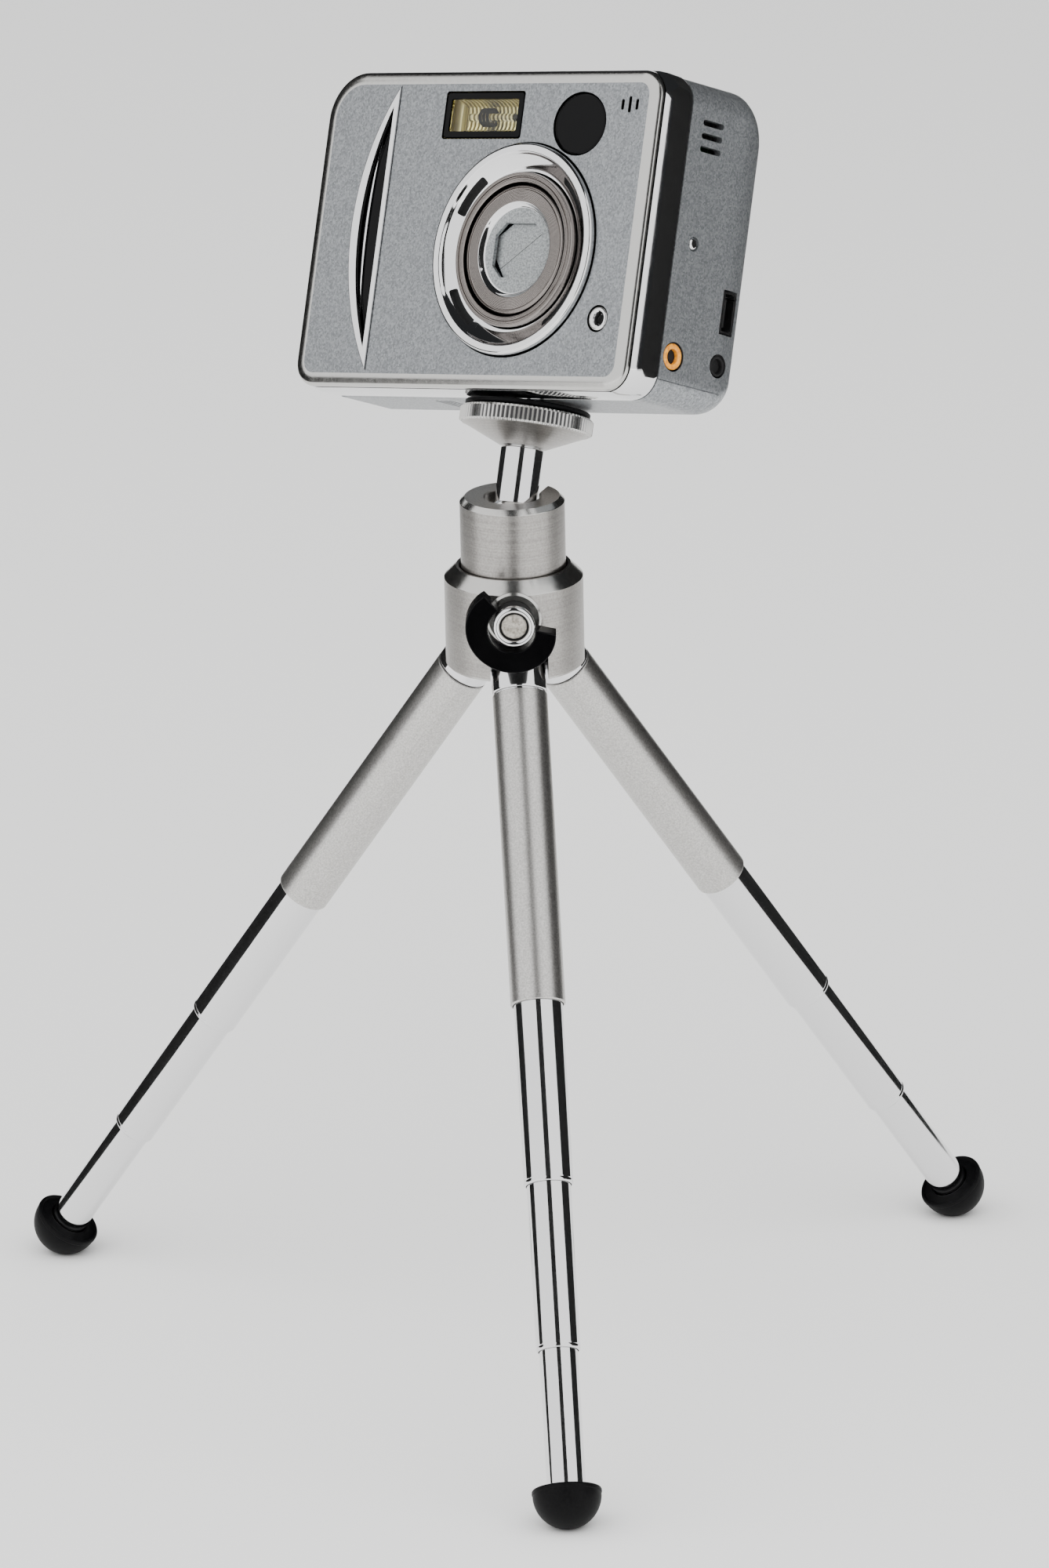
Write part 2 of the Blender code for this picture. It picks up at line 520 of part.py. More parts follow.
def rear_openings():
    bm = bmesh.new()
    back = (REAR_Y - WALL - 2.5, REAR_Y + 1)
    prism_y(bm, rectangle(LCD_CENTRE, LCD_SIZE, 1.5, CLEARANCE), *back)
    prism_y(bm, rectangle(ROCKER_CENTRE, ROCKER_SIZE, 2.5, CLEARANCE), *back)
    prism_y(bm, ellipse(PAD_CENTRE, [NAV_RADIUS + CLEARANCE] * 2, 24), *back)
    side = BODY_RIGHT - WALL - 2.5, BODY_RIGHT + 1
    for z in SIDE_SLOT_Z:
        box(bm, side, (SIDE_SLOT_Y - SIDE_SLOT[0] / 2, SIDE_SLOT_Y + SIDE_SLOT[0] / 2),
            (z - SIDE_SLOT[1] / 2, z + SIDE_SLOT[1] / 2))
    for (y, z), radius in ((AV_PLACE, AV_RADIUS), (DC_PLACE, DC_RADIUS)):
        turn(bm, rod_profile(radius + CLEARANCE, side[0], side[1]), 16, place=along_x(0, y, z))
    half_y, half_z = USB_SIZE[0] / 2 + CLEARANCE, USB_SIZE[1] / 2 + CLEARANCE
    box(bm, side, (USB_PLACE[0] - half_y, USB_PLACE[0] + half_y),
        (USB_PLACE[1] - half_z, USB_PLACE[1] + half_z))
    for x, radius in ((SHUTTER_X, SHUTTER_RADIUS), (POWER_X, POWER_RADIUS)):
        turn(bm, rod_profile(radius + CLEARANCE, BODY_HEIGHT - WALL - 1, BODY_HEIGHT + 1), 20,
             place=Matrix.Translation((x, button_y(), 0)))
    floor = (-1, WALL + 1.4)
    turn(bm, rod_profile(BUSH_RADIUS + CLEARANCE, *floor), 20)
    box(bm, (DOOR_X[0] - CLEARANCE, DOOR_X[1] + CLEARANCE), (DOOR_Y[0] - CLEARANCE, DOOR_Y[1] + CLEARANCE),
        floor)
    return bm


def button_y():
    """Middle of the flat part of the rear cover's top."""
    return (REAR_FRONT + REAR_Y - 6.0) / 2


def make_front_fittings(frame, looks):
    grip = bmesh.new()
    prism_y(grip, crescent(GRIP_BULGE), FACE_Y - 0.4, COVER_BACK + 0.6)
    trim = solid("grip_trim", grip, looks["chrome"], frame)
    leaf_ends = GRIP_BOTTOM + 5.4, GRIP_TOP - 5.0
    leaf_edge = GRIP_X - 1.3
    hole = bmesh.new()
    prism_y(hole, crescent(LEAF_BULGE, CLEARANCE, 12, *leaf_ends, leaf_edge), FACE_Y - 1.5, COVER_BACK + 2)
    cut(trim, solid("cut_leaf", hole, None, frame))
    leaf = bmesh.new()
    prism_y(leaf, crescent(LEAF_BULGE, 0.0, 12, *leaf_ends, leaf_edge), FACE_Y + 0.5, COVER_BACK + 0.6)
    solid("grip_insert", leaf, looks["black"], frame)

    depth = 5.0
    mouth = COVER_BACK - 0.2
    shell = bmesh.new()
    outside = [[(x, y, z) for x, z in rectangle(FLASH_CENTRE, FLASH_SIZE, grow=grow)]
               for grow, y in ((-1.6, mouth + depth), (0.0, mouth))]
    inside = [[(x, y, z) for x, z in rectangle(FLASH_CENTRE, FLASH_SIZE, grow=grow)]
              for grow, y in ((-0.8, mouth), (-2.2, mouth + depth - 0.8))]
    skin(shell, outside + inside)
    solid("flash_reflector", shell, looks["flash"], frame)
    pane = bmesh.new()
    prism_y(pane, rectangle(FLASH_CENTRE, FLASH_SIZE), FACE_Y, mouth - CLEARANCE)
    solid("flash_window", pane, looks["glass"], frame)
    pane = bmesh.new()
    prism_y(pane, ellipse(FINDER_CENTRE, FINDER_RADII, 24), FACE_Y + 0.2, COVER_BACK + 0.6)
    solid("viewfinder_window", pane, looks["black"], frame)
    profile = [(0, 0.8), (1.0, 0.6), (LAMP_RADIUS - 0.4, 1.4), (LAMP_RADIUS, 1.2), (LAMP_RADIUS, -0.6),
               (0, -0.6)]
    solid("timer_lamp", turned(profile, 16, place=along_y(*LAMP_CENTRE, COVER_BACK)), looks["chrome"], frame)


def make_lens(frame, looks):
    radius = LENS_RING_RADIUS
    bore = BARREL_RADII[0] + CLEARANCE
    front = LENS_RING_PROUD
    back = -6.0
    profile = [(bore, back), (bore, -1.0), (radius - 2.0, 0.8), (radius - 1.6, front), (radius - 0.6, front),
               (radius, front - 0.6), (radius, -COVER_THICKNESS - 0.6), (radius - 2.5, -COVER_THICKNESS - 0.6),
               (radius - 2.5, back)]
    place = along_y(LENS_X, LENS_Z, FACE_Y)
    solid("lens_ring", turned(profile, 40, closed=True, place=place), looks["chrome"], frame)
    outer, inner = BARREL_RADII
    profile = tube_profile(outer, outer - BARREL_WALL, -BARREL_LENGTH, 0.8)
    profile[0:1] = [(outer - 0.5, 0.8), (outer, 0.3)]
    solid("lens_barrel_outer", turned(profile, 40, closed=True, place=place), looks["bronze"], frame,
          (LENS_X, FACE_Y, LENS_Z))
    recess = 8.4
    floor = -0.6
    profile = [(0, floor), (recess, floor), (recess + 0.2, 0.4), (inner - 0.5, 0.4), (inner, 0.0),
               (inner, -BARREL_LENGTH), (inner - 0.8, -BARREL_LENGTH), (inner - 0.8, floor - 0.8),
               (0, floor - 0.8)]
    barrel = solid("lens_barrel_inner", turned(profile, 40, place=place), looks["bronze"], frame,
                   (LENS_X, FACE_Y, LENS_Z))
    half_x, half_z = APERTURE[0] / 2, APERTURE[1] / 2
    nip = 2.2
    outline = [(-half_x, -half_z + nip), (-half_x + nip, -half_z), (half_x - nip, -half_z),
               (half_x, -half_z + nip), (half_x, half_z - nip), (half_x - nip, half_z),
               (-half_x + nip, half_z), (-half_x, half_z - nip)]
    opening = bmesh.new()
    prism_y(opening, [(LENS_X + x, LENS_Z + z) for x, z in outline], FACE_Y - 2, FACE_Y + 3)
    cut(barrel, solid("cut_aperture", opening, None, frame))
    front_y = FACE_Y - floor + 0.8 + CLEARANCE
    for name, side in (("upper", 1), ("lower", -1)):
        solid(f"lens_blade_{name}", make_blade(side, front_y), looks["satin"], frame,
              (LENS_X, FACE_Y, LENS_Z))
    glass_front = front_y + BLADE_THICKNESS + CLEARANCE
    profile = [(0, -0.2), (5.0, -1.2), (9.5, -1.4), (9.5, -4.0), (0, -4.0)]
    solid("lens_glass", turned(profile, 24, place=along_y(LENS_X, LENS_Z, glass_front)), looks["glass"], frame)


def make_blade(side, front_y):
    """One half of the lens cover; the two meet along a slanting line through the lens axis."""
    slope = radians(PARTING_ANGLE)
    gap = 0.15
    shape = [(-BLADE_HALF_WIDTH, gap), (BLADE_HALF_WIDTH, gap), (BLADE_HALF_WIDTH, BLADE_HEIGHT * 0.55),
             (BLADE_HALF_WIDTH * 0.6, BLADE_HEIGHT), (-BLADE_HALF_WIDTH * 0.6, BLADE_HEIGHT),
             (-BLADE_HALF_WIDTH, BLADE_HEIGHT * 0.55)]
    outline = [(LENS_X + x * cos(slope) - z * side * sin(slope), LENS_Z + x * sin(slope) + z * side * cos(slope))
               for x, z in shape]
    return prism_y(bmesh.new(), outline, front_y, front_y + BLADE_THICKNESS)


def make_back_fittings(frame, looks):
    pane = bmesh.new()
    prism_y(pane, rectangle(LCD_CENTRE, LCD_SIZE, 1.5), REAR_Y - WALL, REAR_Y - 0.2)
    solid("lcd_window", pane, looks["glass"], frame)
    rocker = bmesh.new()
    prism_y(rocker, rectangle(ROCKER_CENTRE, ROCKER_SIZE, 2.5), REAR_Y - WALL, REAR_Y + 0.8)
    solid("zoom_rocker", rocker, looks["satin"], frame, (ROCKER_CENTRE[0], REAR_Y, ROCKER_CENTRE[1]))
    profile = [(0, -0.6), (3.0, -0.9), (NAV_RADIUS - 0.6, -0.9), (NAV_RADIUS, -0.4), (NAV_RADIUS, WALL),
               (0, WALL)]
    solid("nav_pad", turned(profile, 24, place=along_y(*PAD_CENTRE, REAR_Y)), looks["satin"], frame,
          (PAD_CENTRE[0], REAR_Y, PAD_CENTRE[1]))
    for name, x, radius in (("shutter_button", SHUTTER_X, SHUTTER_RADIUS), ("power_button", POWER_X,
                            POWER_RADIUS)):
        top = BODY_HEIGHT + BUTTON_PROUD
        profile = [(0, top), (radius - 0.6, top), (radius, top - 0.5), (radius, BODY_HEIGHT - WALL),
                   (0, BODY_HEIGHT - WALL)]
        place = Matrix.Translation((x, button_y(), 0))
        solid(name, turned(profile, 20, place=place), looks["chrome"], frame, (x, button_y(), BODY_HEIGHT))
    door = bmesh.new()
    box(door, DOOR_X, DOOR_Y, (0.4, 0.4 + WALL))
    solid("battery_door", door, looks["paint"], frame, (DOOR_X[0], 0, 0.4))


def make_inside(frame, looks):
    middle = (DOOR_X[0] + DOOR_X[1]) / 2
    y = (DOOR_Y[0] + DOOR_Y[1]) / 2
    low = 0.4 + WALL + 2 * CLEARANCE
    for name, side in (("battery_left", -1), ("battery_right", 1)):
        x = middle + side * (CELL_RADIUS + CLEARANCE / 2)
        high = low + CELL_LENGTH
        profile = [(0, high), (2.6, high), (2.6, high - 1.2), (CELL_RADIUS, high - 1.2), (CELL_RADIUS, low),
                   (0, low)]
        solid(name, turned(profile, 20, place=Matrix.Translation((x, y, 0))), looks["cell"], frame)
    board = bmesh.new()
    board_y = REAR_Y - WALL - 3.0
    box(board, (-12.0, 26.0), (board_y, board_y + 1.2), (8.6, 50.0))
    solid("main_board", board, looks["board"], frame)
    sensor = bmesh.new()
    box(sensor, (LENS_X - 5, LENS_X + 5), (board_y - 2.5, board_y - CLEARANCE), (LENS_Z - 4, LENS_Z + 4))
    solid("image_sensor", sensor, looks["black"], frame)
    profile = tube_profile(BUSH_RADIUS, THREAD_RADIUS + RUNNING, 0.4, 0.4 + BUSH_HEIGHT)
    solid("tripod_bush", turned(profile, 20, closed=True), looks["steel"], frame)

    face = BODY_RIGHT - 0.4
    for name, (y, z), radius, hole, look in (("av_jack", AV_PLACE, AV_RADIUS, 1.6, "orange"),
                                             ("dc_jack", DC_PLACE, DC_RADIUS, 1.2, "black")):
        profile = [(0, face - PORT_DEPTH + 1), (hole, face - PORT_DEPTH + 1), (hole, face), (radius, face),
                   (radius, face - PORT_DEPTH), (0, face - PORT_DEPTH)]
        solid(name, turned(profile, 16, place=along_x(0, y, z)), looks[look], frame)
    y, z = USB_PLACE
    half_y, half_z = USB_SIZE[0] / 2, USB_SIZE[1] / 2
    deep = face - PORT_DEPTH
    rings = [(deep, 0.0), (face - 0.2, 0.0), (face - 0.2, 0.4), (deep + 0.8, 0.4)]
    port = bmesh.new()
    skin(port, [[(x, y - half_y + wall, z - half_z + wall), (x, y + half_y - wall, z - half_z + wall),
                 (x, y + half_y - wall, z + half_z - wall), (x, y - half_y + wall, z + half_z - wall)]
                for x, wall in rings])
    solid("usb_port", port, looks["steel"], frame)


def centre_on_floor(root):
    """Move the whole object so that its overall box stands centred over the origin."""
    bpy.context.view_layer.update()
    corners = [made.matrix_world @ vert.co for made in bpy.data.objects
               if made.type == "MESH" and not made.hide_render for vert in made.data.vertices]
    for axis in (0, 1):
        reach = [corner[axis] for corner in corners]
        root.location[axis] -= (min(reach) + max(reach)) / 2
    bpy.context.view_layer.update()


def main():
    for old in list(bpy.data.objects):
        bpy.data.objects.remove(old, do_unlink=True)
    looks = {
        "aluminium": material("turned_aluminium", (0.72, 0.71, 0.70), 0.35, 1.0),
        "satin": material("satin_silver", (0.66, 0.66, 0.65), 0.45, 0.6),
        "chrome": material("chrome", (0.85, 0.85, 0.86), 0.08, 1.0),
        "steel": material("steel", (0.60, 0.60, 0.61), 0.3, 1.0),
        "bronze": material("lens_barrel_metal", (0.52, 0.48, 0.46), 0.3, 0.9),
        "paint": material("silver_paint", (0.56, 0.57, 0.59), 0.4, 0.5),
        "black": material("black_plastic", (0.02, 0.02, 0.022), 0.35),
        "rubber": material("black_rubber", (0.02, 0.02, 0.02), 0.7),
        "glass": material("window_plastic", (0.30, 0.30, 0.32), 0.05),
        "flash": material("reflector_foil", (0.85, 0.80, 0.60), 0.2, 0.8),
        "orange": material("jack_plastic", (0.85, 0.42, 0.05), 0.4),
        "board": material("circuit_board", (0.03, 0.20, 0.08), 0.5),
        "cell": material("battery_sleeve", (0.25, 0.26, 0.30), 0.35, 0.5),
    }
    root = empty("tripod_axis", None, Matrix())
    cutters = [make_leg(name, azimuth, root, looks) for name, azimuth in LEG_NAMES.items()]
    frame = make_head(root, [pair[0] for pair in cutters], [pair[1] for pair in cutters], looks)
    make_covers(frame, looks)
    make_front_fittings(frame, looks)
    make_lens(frame, looks)
    make_back_fittings(frame, looks)
    make_inside(frame, looks)
    centre_on_floor(root)


main()
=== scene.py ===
"""Looks of a compact camera on a telescoping mini tripod, made round the fixed frame of its parts.

Shapes are drawn in millimetres, in the frame of the part that they belong to, and are then put in
their places. The camera's pieces use a frame whose X runs across the camera, Y up and Z out of the
front, and whose origin is the tripod socket.
"""
import json
from math import atan2, cos, pi, radians, sin, sqrt

import bmesh
import bpy
from bpy.props import FloatProperty, FloatVectorProperty, IntProperty, PointerProperty
from mathutils import Matrix, Vector


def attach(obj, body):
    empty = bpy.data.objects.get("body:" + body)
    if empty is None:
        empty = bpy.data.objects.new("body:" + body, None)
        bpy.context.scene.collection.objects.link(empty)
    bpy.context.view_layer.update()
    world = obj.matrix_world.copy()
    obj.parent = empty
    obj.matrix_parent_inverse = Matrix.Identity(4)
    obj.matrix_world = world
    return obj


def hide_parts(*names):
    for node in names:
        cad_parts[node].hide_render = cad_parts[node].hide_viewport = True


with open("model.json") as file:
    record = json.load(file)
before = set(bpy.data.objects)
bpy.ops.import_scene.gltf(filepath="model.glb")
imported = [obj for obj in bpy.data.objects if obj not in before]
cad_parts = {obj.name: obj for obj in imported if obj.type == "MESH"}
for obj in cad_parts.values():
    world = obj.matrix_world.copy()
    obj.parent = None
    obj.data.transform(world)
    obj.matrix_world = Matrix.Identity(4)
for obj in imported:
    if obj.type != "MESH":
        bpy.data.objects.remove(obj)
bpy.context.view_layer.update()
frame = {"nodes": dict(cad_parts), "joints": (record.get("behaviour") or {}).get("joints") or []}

bl_info = {
    "name": "Camera on Mini Tripod",
    "version": (1, 0, 0),
    "blender": (4, 5, 0),
    "location": "View3D > Sidebar > Mini Tripod",
    "description": "Builds the surfaces and finishes of a compact camera on a mini tripod",
    "category": "Object",
}

MM = 0.001
JOINTS = {joint["name"]: joint for joint in frame["joints"]}
SIDES = ("front", "right", "left")


# ---- places, read from the joints ----------------------------------------------------------------
def frame_at(origin, x_axis, z_axis):
    """A millimetre frame at a point in metres, from the directions of its own X and Z."""
    x, z = Vector(x_axis).normalized(), Vector(z_axis).normalized()
    axes = Matrix((x, z.cross(x), z)).transposed().to_4x4()
    return Matrix.Translation(origin) @ axes @ Matrix.Scale(MM, 4)


def way(joint):
    return Vector(JOINTS[joint]["axis"]).normalized()


def spot(joint):
    return Vector(JOINTS[joint]["pos_m"])


SOCKET = 22.3                       # the camera's underside, from the ball's centre along the stem
BALL = spot("ball_tilt")
TRIPOD = frame_at((BALL.x, BALL.y, 0), (1, 0, 0), (0, 0, 1))
HEAD = frame_at((BALL.x, BALL.y, 0), way("ball_tilt"), (0, 0, 1))
STEM = frame_at(BALL, way("ball_tilt"), way("camera_swivel"))
CLAMP = frame_at(spot("clamp_turn"), (0, 0, -1), way("clamp_turn"))
FORWARD = way("nav_press")
ACROSS = FORWARD.cross(way("shutter_press"))
CAMERA = frame_at(BALL + way("camera_swivel") * SOCKET * MM, ACROSS, FORWARD)
LEGS = {side: frame_at(spot(f"leg_fold_{side}"), way(f"leg_fold_{side}"), way(f"slide_second_{side}"))
        for side in SIDES}
SEATS = {side: frame_at(spot(f"leg_fold_{side}"), way(f"leg_fold_{side}"), (0, 0, 1)) for side in SIDES}

# ---- sizes of the camera, across, up and forward of the socket -----------------------------------
LEFT, RIGHT, HEIGHT = -47.9, 36.3, 60.0
CORNERS = (9.5, 5.5, 5.5, 5.5)      # top left, top right, bottom right, bottom left
FACE, COVER_BACK = 14.0, 12.6
TRIM_FRONT, TRIM_BACK = 12.3, 5.3
REAR_FRONT, REAR = 5.0, -15.1
WALL = 1.5
GAP = 0.3
LENS = (5.0, 26.2)
RING, BARREL, INNER_BARREL, RECESS = 19.6, 14.3, 12.0, 8.4
FLASH, FLASH_SIZE = (-7.3, 51.1), (19.2, 8.3)
FINDER, FINDER_RADII = (17.0, 49.4), (6.2, 5.6)
LAMP, LAMP_RADIUS = (27.6, 13.7), 2.2
GRIP_EDGE, GRIP_BULGE, GRIP_ENDS = -28.9, 8.0, (3.8, 56.4)
LEAF_EDGE, LEAF_BULGE, LEAF_ENDS = -30.2, 4.4, (9.2, 51.4)
SCREEN, SCREEN_SIZE = (9.0, 28.0), (38.0, 29.0)
ROCKER, ROCKER_SIZE = (-32.0, 44.0), (14.0, 6.0)
PAD, PAD_RADIUS = (-31.0, 24.0), 7.5
SHUTTER, POWER, BUTTON_DEPTH = (-33.0, 5.0), (-17.0, 2.6), 2.2
DOOR_X, DOOR_DEPTH = (-44.6, -15.6), (-10.2, 3.4)
SLOT_HEIGHTS = (52.0, 49.6, 47.2)
PHONO, POWER_INLET, DATA_PORT = (9.0, 1.7, 2.4), (9.4, -10.3, 1.9), (19.3, -11.4)
SIDE_SCREW, SCREW_HOLE, SIDE_LINE = (29.9, 0.2), 1.35, 4.4
MICROPHONE, BUSH_HOLE = (28.8, 52.9), 4.7

# ---- sizes of the tripod -------------------------------------------------------------------------
TUBES = (5.0, 4.5, 4.0, 3.5)
TUBE_WALL = 0.35
TUBE_ENDS = (64.6, 98.3, 129.0, 155.2)
OVERLAPS = (14.0, 12.0, 10.0)
COLLAR, COLLAR_LOW, COLLAR_TOP = 12.7, 130.45, 149.35
CAP, CAP_LOW, CAP_TOP = 9.6, 140.05, 162.25
BALL_HEIGHT = 156.55


# ---- node and mesh helpers -----------------------------------------------------------------------
def linear(colour):
    """Turn an sRGB hex colour into the linear values that a shader takes, and leave linear ones alone."""
    if not isinstance(colour, str):
        return [*colour, 1.0]
    values = [int(colour[i:i + 2], 16) / 255 for i in (1, 3, 5)]
    return [v / 12.92 if v <= 0.04045 else ((v + 0.055) / 1.055) ** 2.4 for v in values] + [1.0]


def add(tree, kind, inputs=None, links=None, **settings):
    """Add a node with its settings, its socket values and its links."""
    node = tree.nodes.new("ShaderNode" + kind)
    for name, value in settings.items():
        setattr(node, name, value)
    for socket, value in (inputs or {}).items():
        node.inputs[socket].default_value = value
    for socket, source in (links or {}).items():
        tree.links.new(source, node.inputs[socket])
    return node


def look(name, place, colour, metallic, roughness, **more):
    """A named shader and its pattern coordinates, in millimetres from a piece's own frame."""
    made = bpy.data.materials.new(name)
    made.use_nodes = True
    tree = made.node_tree
    shader = tree.nodes["Principled BSDF"]
    for socket, value in {"Base Color": linear(colour), "Metallic": metallic, "Roughness": roughness,
                          **more}.items():
        shader.inputs[socket].default_value = value
    made.diffuse_color = linear(colour)
    where = add(tree, "TexCoord").outputs["Object"]
    place = place or Matrix.Scale(MM, 4)
    spun = add(tree, "Mapping", vector_type="TEXTURE", links={"Vector": where}, inputs={
        "Location": place.to_translation(), "Rotation": place.to_3x3().normalized().to_euler(),
        "Scale": (MM, MM, MM)})
    return made, tree, shader, spun.outputs["Vector"]


def shade(tree, shader, source, dark, light, low=0.35, high=0.65):
    """Vary the base colour between two hex colours by a pattern's value."""
    ramp = add(tree, "ValToRGB", links={"Fac": source})
    for stop, place, colour in zip(ramp.color_ramp.elements, (low, high), (dark, light)):
        stop.position, stop.color = place, linear(colour)
    tree.links.new(ramp.outputs["Color"], shader.inputs["Base Color"])


def dull(tree, shader, source, low, high):
    """Vary the roughness by a pattern's value."""
    span = add(tree, "MapRange", inputs={"To Min": low, "To Max": high}, links={"Value": source})
    tree.links.new(span.outputs["Result"], shader.inputs["Roughness"])


def emboss(tree, shader, source, depth, strength=1.0):
    """Raise a pattern as a bump of a depth in millimetres."""
    bump = add(tree, "Bump", inputs={"Strength": strength, "Distance": depth * MM},
               links={"Height": source})
    tree.links.new(bump.outputs["Normal"], shader.inputs["Normal"])


# ---- finishes ------------------------------------------------------------------------------------
def patterned(name, place, colour, metallic, roughness, inputs, pattern="TexNoise", source="Fac",
              shades=None, shine=None, relief=None, more=None, **settings):
    """A look whose pattern varies its colour, its roughness and its height, where those are given."""
    made, tree, shader, where = look(name, place, colour, metallic, roughness, **(more or {}))
    value = add(tree, pattern, inputs, {"Vector": where}, **settings).outputs[source]
    if shades:
        shade(tree, shader, value, *shades)
    if shine:
        dull(tree, shader, value, *shine)
    if relief:
        emboss(tree, shader, value, *relief)
    return made


def sprayed_silver(place):
    """Silver lacquer on moulded ABS: satin, with metal flakes about 0.3 mm apart that catch the light."""
    sizes = bpy.context.scene.minicam_camera
    made, tree, shader, where = look("Sprayed silver lacquer", place, sizes.lacquer_light, 0.8, 0.42,
                                     **{"Coat Weight": 0.15, "Coat Roughness": 0.2})
    flakes = add(tree, "TexVoronoi", {"Scale": 3.2}, {"Vector": where})
    grey = add(tree, "RGBToBW", links={"Color": flakes.outputs["Color"]}).outputs["Val"]
    shade(tree, shader, grey, sizes.lacquer_dark, sizes.lacquer_light, 0.15, 0.9)
    emboss(tree, shader, grey, 0.02, 0.35)
    return made


def polished_rim(place):
    """Diamond-cut and polished aluminium, as on the cover's rim: bright with fine drag lines."""
    return patterned("Polished aluminium rim", place, "#C6C5C2", 1.0, 0.2, {"Scale": 1.2, "Detail": 2.0},
                     shine=(0.13, 0.25))


def bright_chrome(place):
    """Bright nickel-chrome plate: a mirror with the faintest handling haze."""
    return patterned("Bright chrome plate", place, "#E9E9EA", 1.0, 0.06, {"Scale": 0.25, "Detail": 3.0},
                     shine=(0.03, 0.10))


def turned_aluminium(place):
    """Lathe-turned aluminium, lightly blasted: soft bands of light with fine rings and bright grit."""
    made, tree, shader, where = look("Turned aluminium", place, "#C9C7C4", 1.0, 0.3)
    parts = add(tree, "SeparateXYZ", links={"Vector": where}).outputs
    flat = add(tree, "CombineXYZ", links={"X": parts["X"], "Y": parts["Y"]}).outputs["Vector"]
    across = add(tree, "VectorMath", links={"Vector": flat}, operation="LENGTH").outputs["Value"]
    rings = add(tree, "CombineXYZ", links={"X": across, "Z": parts["Z"]}).outputs["Vector"]
    cuts = add(tree, "TexNoise", {"Scale": 3.5, "Detail": 1.0}, {"Vector": rings}).outputs["Fac"]
    grit = add(tree, "TexNoise", {"Scale": 3.0, "Detail": 2.0}, {"Vector": where}).outputs["Fac"]
    both = add(tree, "Mix", {"Factor": 0.6}, {"A": cuts, "B": grit}).outputs["Result"]
    shade(tree, shader, both, "#8F8C89", "#B5B2AE", 0.3, 0.7)
    dull(tree, shader, cuts, 0.24, 0.38)
    emboss(tree, shader, both, 0.02, 0.5)
    return made


def blasted_aluminium(place):
    """Bead-blasted and clear-anodised tube: pale satin with a fine sparkling grain."""
    return patterned("Blasted aluminium", place, "#CFCECB", 1.0, 0.33,
                     {"Scale": 3.2, "Detail": 2.0, "Roughness": 0.6},
                     shades=("#AFADAA", "#D8D6D3", 0.3, 0.7), shine=(0.28, 0.38), relief=(0.015, 0.3))


def turned_barrel(place):
    """Anodised lens barrel, faced on a lathe: warm grey with fine rings round the lens axis."""
    return patterned("Anodised lens barrel", place, "#A59A95", 1.0, 0.22, {"Scale": 1.6, "Distortion": 0.3},
                     "TexWave", shades=("#746E6B", "#A19B97", 0.2, 0.8), relief=(0.03, 0.8),
                     wave_type="RINGS", rings_direction="Z")


def blade_steel(place):
    """Thin lacquered blade stock: grey, satin and finely speckled."""
    return patterned("Lacquered blade stock", place, "#9A9E9F", 0.85, 0.38, {"Scale": 2.6, "Detail": 2.0},
                     shades=("#86898A", "#B2B6B7", 0.35, 0.65))


def zinc_steel_and_shade(place):
    """Steel plated with zinc: dull bright grey with soft mottling; also used as painted shade in the valleys
    of the locking disc's knurls.
    """
    return patterned("Zinc-plated steel and painted shade", place, "#858586", 1.0, 0.33, {"Scale": 0.8, "Detail": 3.0},
                     shine=(0.25, 0.45))


def cast_face(place):
    """Rough, unmachined end of a cast screw: pitted and unpolished."""
    return patterned("Rough cast metal", place, "#BDB8AE", 0.9, 0.5,
                     {"Scale": 1.3, "Detail": 4.0, "Roughness": 0.65},
                     shades=("#8E887E", "#CFCAC1", 0.35, 0.6), relief=(0.35, 0.9))


def black_gloss(place):
    """Polished black ABS: deep black with a clear, slightly soft reflection."""
    return patterned("Gloss black plastic", place, "#050506", 0.0, 0.2, {"Scale": 0.3, "Detail": 2.0},
                     shine=(0.10, 0.24), more={"Specular IOR Level": 0.1})


def moulded_rubber(place):
    """Black rubber from a blasted mould: matt, faintly grained and greyer where it is handled."""
    return patterned("Moulded rubber", place, "#070708", 0.0, 0.5, {"Scale": 2.2, "Detail": 3.0},
                     shades=("#040405", "#0B0B0C", 0.3, 0.7), shine=(0.42, 0.6), relief=(0.04, 0.4),
                     more={"Specular IOR Level": 0.1})


def clear_acrylic(place):
    """Clear moulded acrylic with a faint haze, its IOR low so that the foil behind it reads in place."""
    return patterned("Clear acrylic", place, "#FFFFFF", 0.0, 0.03, {"Scale": 0.4}, shine=(0.01, 0.05),
                     more={"Transmission Weight": 1.0, "IOR": 1.3})


def reflector_foil(place):
    """Warm metallised reflector, pressed into upright ribs about 1 mm apart."""
    return patterned("Metallised reflector", place, "#E4D98E", 0.7, 0.24, {"Scale": 0.32}, "TexWave",
                     shades=("#8E7F3C", "#F2E9A6", 0.1, 0.8), relief=(0.25, 0.8),
                     wave_type="BANDS", bands_direction="X")


def jack_plastic(place):
    """Orange nylon insert of a phono jack, slightly mottled."""
    return patterned("Orange nylon", place, "#F09A18", 0.0, 0.32, {"Scale": 1.5},
                     shades=("#D97F0C", "#FBB040", 0.3, 0.7), more={"IOR": 1.5})


def dark_hole(place):
    """Black, matt plastic for the unlit inside of a socket or slot; also painted shade, laid on the floors of
    slots, bores and grooves of other parts.
    """
    return patterned("Dark plastic and painted shade", place, "#050506", 0.0, 0.8, {"Scale": 2.0}, shine=(0.7, 0.9))


def screen_glass(place):
    """Hard-coated screen window over a dark display."""
    return patterned("Screen window", place, "#0B0E13", 0.0, 0.08, {"Scale": 0.05},
                     shades=("#090B10", "#10151C", 0.3, 0.7),
                     more={"IOR": 1.5, "Coat Weight": 1.0, "Coat Roughness": 0.03})


